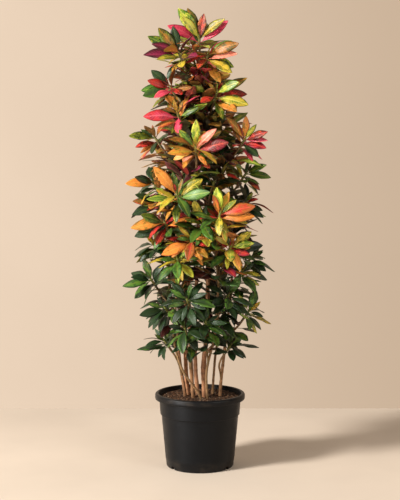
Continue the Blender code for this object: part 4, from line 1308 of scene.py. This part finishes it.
def make_chips(mix, chance):
    """Bark chips and crumbs that lie on the peat, round the stems."""
    shell = Shell()
    edge = wall_radius(SOIL_EDGE_LEVEL) - WALL - CHIP_EDGE_GAP
    feet = [(x, y, foot_radius) for x, y, foot_radius, _ in STEMS.values()]
    made = 0
    while made < CHIP_COUNT:
        radius, angle = edge * math.sqrt(chance.random()), chance.uniform(0, math.tau)
        x, y = radius * math.cos(angle), radius * math.sin(angle)
        size = chance.choice(CHIP_SIZES)
        if any(math.hypot(x - fx, y - fy) < fr + size for fx, fy, fr in feet):
            continue
        if math.hypot(x, y) + size > edge:
            continue
        long, wide, thick = size, size * chance.uniform(0.45, 0.8), size * chance.uniform(0.2, 0.4)
        turn = Matrix.Rotation(chance.uniform(0, math.tau), 3, "Z")
        turn = turn @ Matrix.Rotation(chance.uniform(-0.5, 0.5), 3, "X")
        turn = turn @ Matrix.Rotation(chance.uniform(-0.4, 0.4), 3, "Y")
        centre = Vector((x, y, soil_surface(x, y) + thick * 0.6))
        verts = []
        for level, share in ((-1, 0.7), (0, 1.0), (1, 0.75)):
            for k in range(6):
                a = math.tau * k / 6
                jag = chance.uniform(0.75, 1.15) * share
                verts.append(centre + turn @ Vector((long * jag * math.cos(a), wide * jag * math.sin(a),
                                                     thick * level * chance.uniform(0.7, 1.1))))
        faces = [[i * 6 + k, i * 6 + (k + 1) % 6, i * 6 + 6 + (k + 1) % 6, i * 6 + 6 + k]
                 for i in range(2) for k in range(6)]
        faces += [[5, 4, 3, 2, 1, 0], [12, 13, 14, 15, 16, 17]]
        light = chance.uniform(0.7, 1.25)
        brown = tuple(c * light * CHIP_LIGHT for c in chance.choice(CHIP_BROWNS))
        shell.add(verts, faces, 0, own=(*brown, 1.0))
        made += 1
    chips = shell.object("bark_chips", [mix])
    chips.data.set_sharp_from_angle(angle=math.radians(30))
    settle(chips, "potting_mix", "soil")


# ---------------------------------------------------------------- studio


# Camera, its lens and sensor in mm
CAMERA_PLACE = (0.0, -3.65, 1.026)
CAMERA_AIM = (0.0, 0.0, 0.839)
CAMERA_LENS = 68.0
CAMERA_SENSOR = 36.0

# Lights: name, place, aim, width of the disk, watts, colour
LIGHTS = (
    ("key", (-7.4, -4.5, 5.8), (0, 0, 0.9), 2.0, 1480, (1.0, 0.97, 0.93)),
    ("low", (-2.5, -2.1, 0.26), (0, 0, 0.20), 0.5, 60, (0.97, 0.98, 1.0)),
    ("fill", (3.6, -3.0, 2.4), (0.6, 0.4, 0.4), 2.4, 80, (1.0, 0.97, 0.94)),
)

# Opposite corners of the floor slab. Its top is just under the pot's foot.
FLOOR_SLAB = (-9.0, -9.0, -0.05), (9.0, 1.0, -0.0004)


def make_studio():
    """A pale floor slab that ends a step behind the plant."""
    low, high = FLOOR_SLAB
    verts = [(x, y, z) for z in (low[2], high[2]) for x, y in
             ((low[0], low[1]), (high[0], low[1]), (high[0], high[1]), (low[0], high[1]))]
    faces = [[3, 2, 1, 0], [4, 5, 6, 7]]
    faces += [[k, (k + 1) % 4, (k + 1) % 4 + 4, k + 4] for k in range(4)]
    shell = Shell()
    shell.add(verts, faces)
    floor = shell.object("studio_floor", [plaster_material()])
    floor.data.set_sharp_from_angle(angle=math.radians(30))


def make_room():
    """Soft light all round, and a bright warm backdrop beyond the floor's far edge."""
    t = Tree(bpy.data.worlds.new("room"), "Background")
    toward = t.node("TexCoord").outputs["Generated"]
    x, y, _ = t.node("SeparateXYZ", toward).outputs
    backdrop = t.mix(t.step(x, -0.28, 0.28), (0.865, 0.680, 0.515), (0.600, 0.450, 0.320))
    backdrop = t.mix(t.step(t.cloud(toward, 7.0, 4.0), 0.3, 0.7, 0.0, 0.06), backdrop, (0.45, 0.33, 0.23))
    colour = t.mix(t.step(y, 0.0, 0.7), (0.175, 0.162, 0.148), backdrop)
    t.put(t.shader.inputs["Color"], colour)
    bpy.context.scene.world = t.owner


def make_light(name, place, aim, size, power, colour):
    data = bpy.data.lights.new(name, "AREA")
    data.shape = "DISK"
    data.size = size
    data.energy = power
    data.color = colour
    lamp = bpy.data.objects.new(name, data)
    lamp.location = place
    lamp.rotation_euler = (Vector(aim) - Vector(place)).to_track_quat("-Z", "Y").to_euler()
    bpy.context.scene.collection.objects.link(lamp)


def make_view():
    """The camera at standing-off distance, chest high and tipped slightly down, and the light."""
    data = bpy.data.cameras.new("camera")
    data.lens = CAMERA_LENS
    data.sensor_width = CAMERA_SENSOR
    camera = bpy.data.objects.new("camera", data)
    camera.location = CAMERA_PLACE
    aim = Vector(CAMERA_AIM) - camera.location
    camera.rotation_euler = aim.to_track_quat("-Z", "Y").to_euler()
    bpy.context.scene.collection.objects.link(camera)
    bpy.context.scene.camera = camera
    for light in LIGHTS:
        make_light(*light)
    bpy.context.scene.view_settings.view_transform = "Standard"


def main():
    noise.seed_set(LOOKS_SEED)
    make_view()
    make_room()
    make_studio()
    whorls, stems, canopy = grow_bush(STEM_STEP)
    chance = random.Random(LOOKS_SEED)
    materials = [leaf_material("leaf_upper", True), leaf_material("leaf_under", False), shoot_material()]
    slots = {part["node"]: part["material_slot"] for part in frame["record"]["subparts"]}
    for whorl in whorls:
        letter, number = whorl.twig
        path = stems[letter][number][0]
        more = young_leaves(canopy, whorl, chance) + twig_leaves(canopy, whorl, path, chance)
        make_whorl(whorl, more, materials, slots[whorl.name], chance)
    bark = bark_material()
    for letter, spines in stems.items():
        make_stem(letter, spines, bark, chance)
    make_pot(plastic_material())
    mix = mix_material()
    make_soil(mix)
    make_chips(mix, chance)


main()
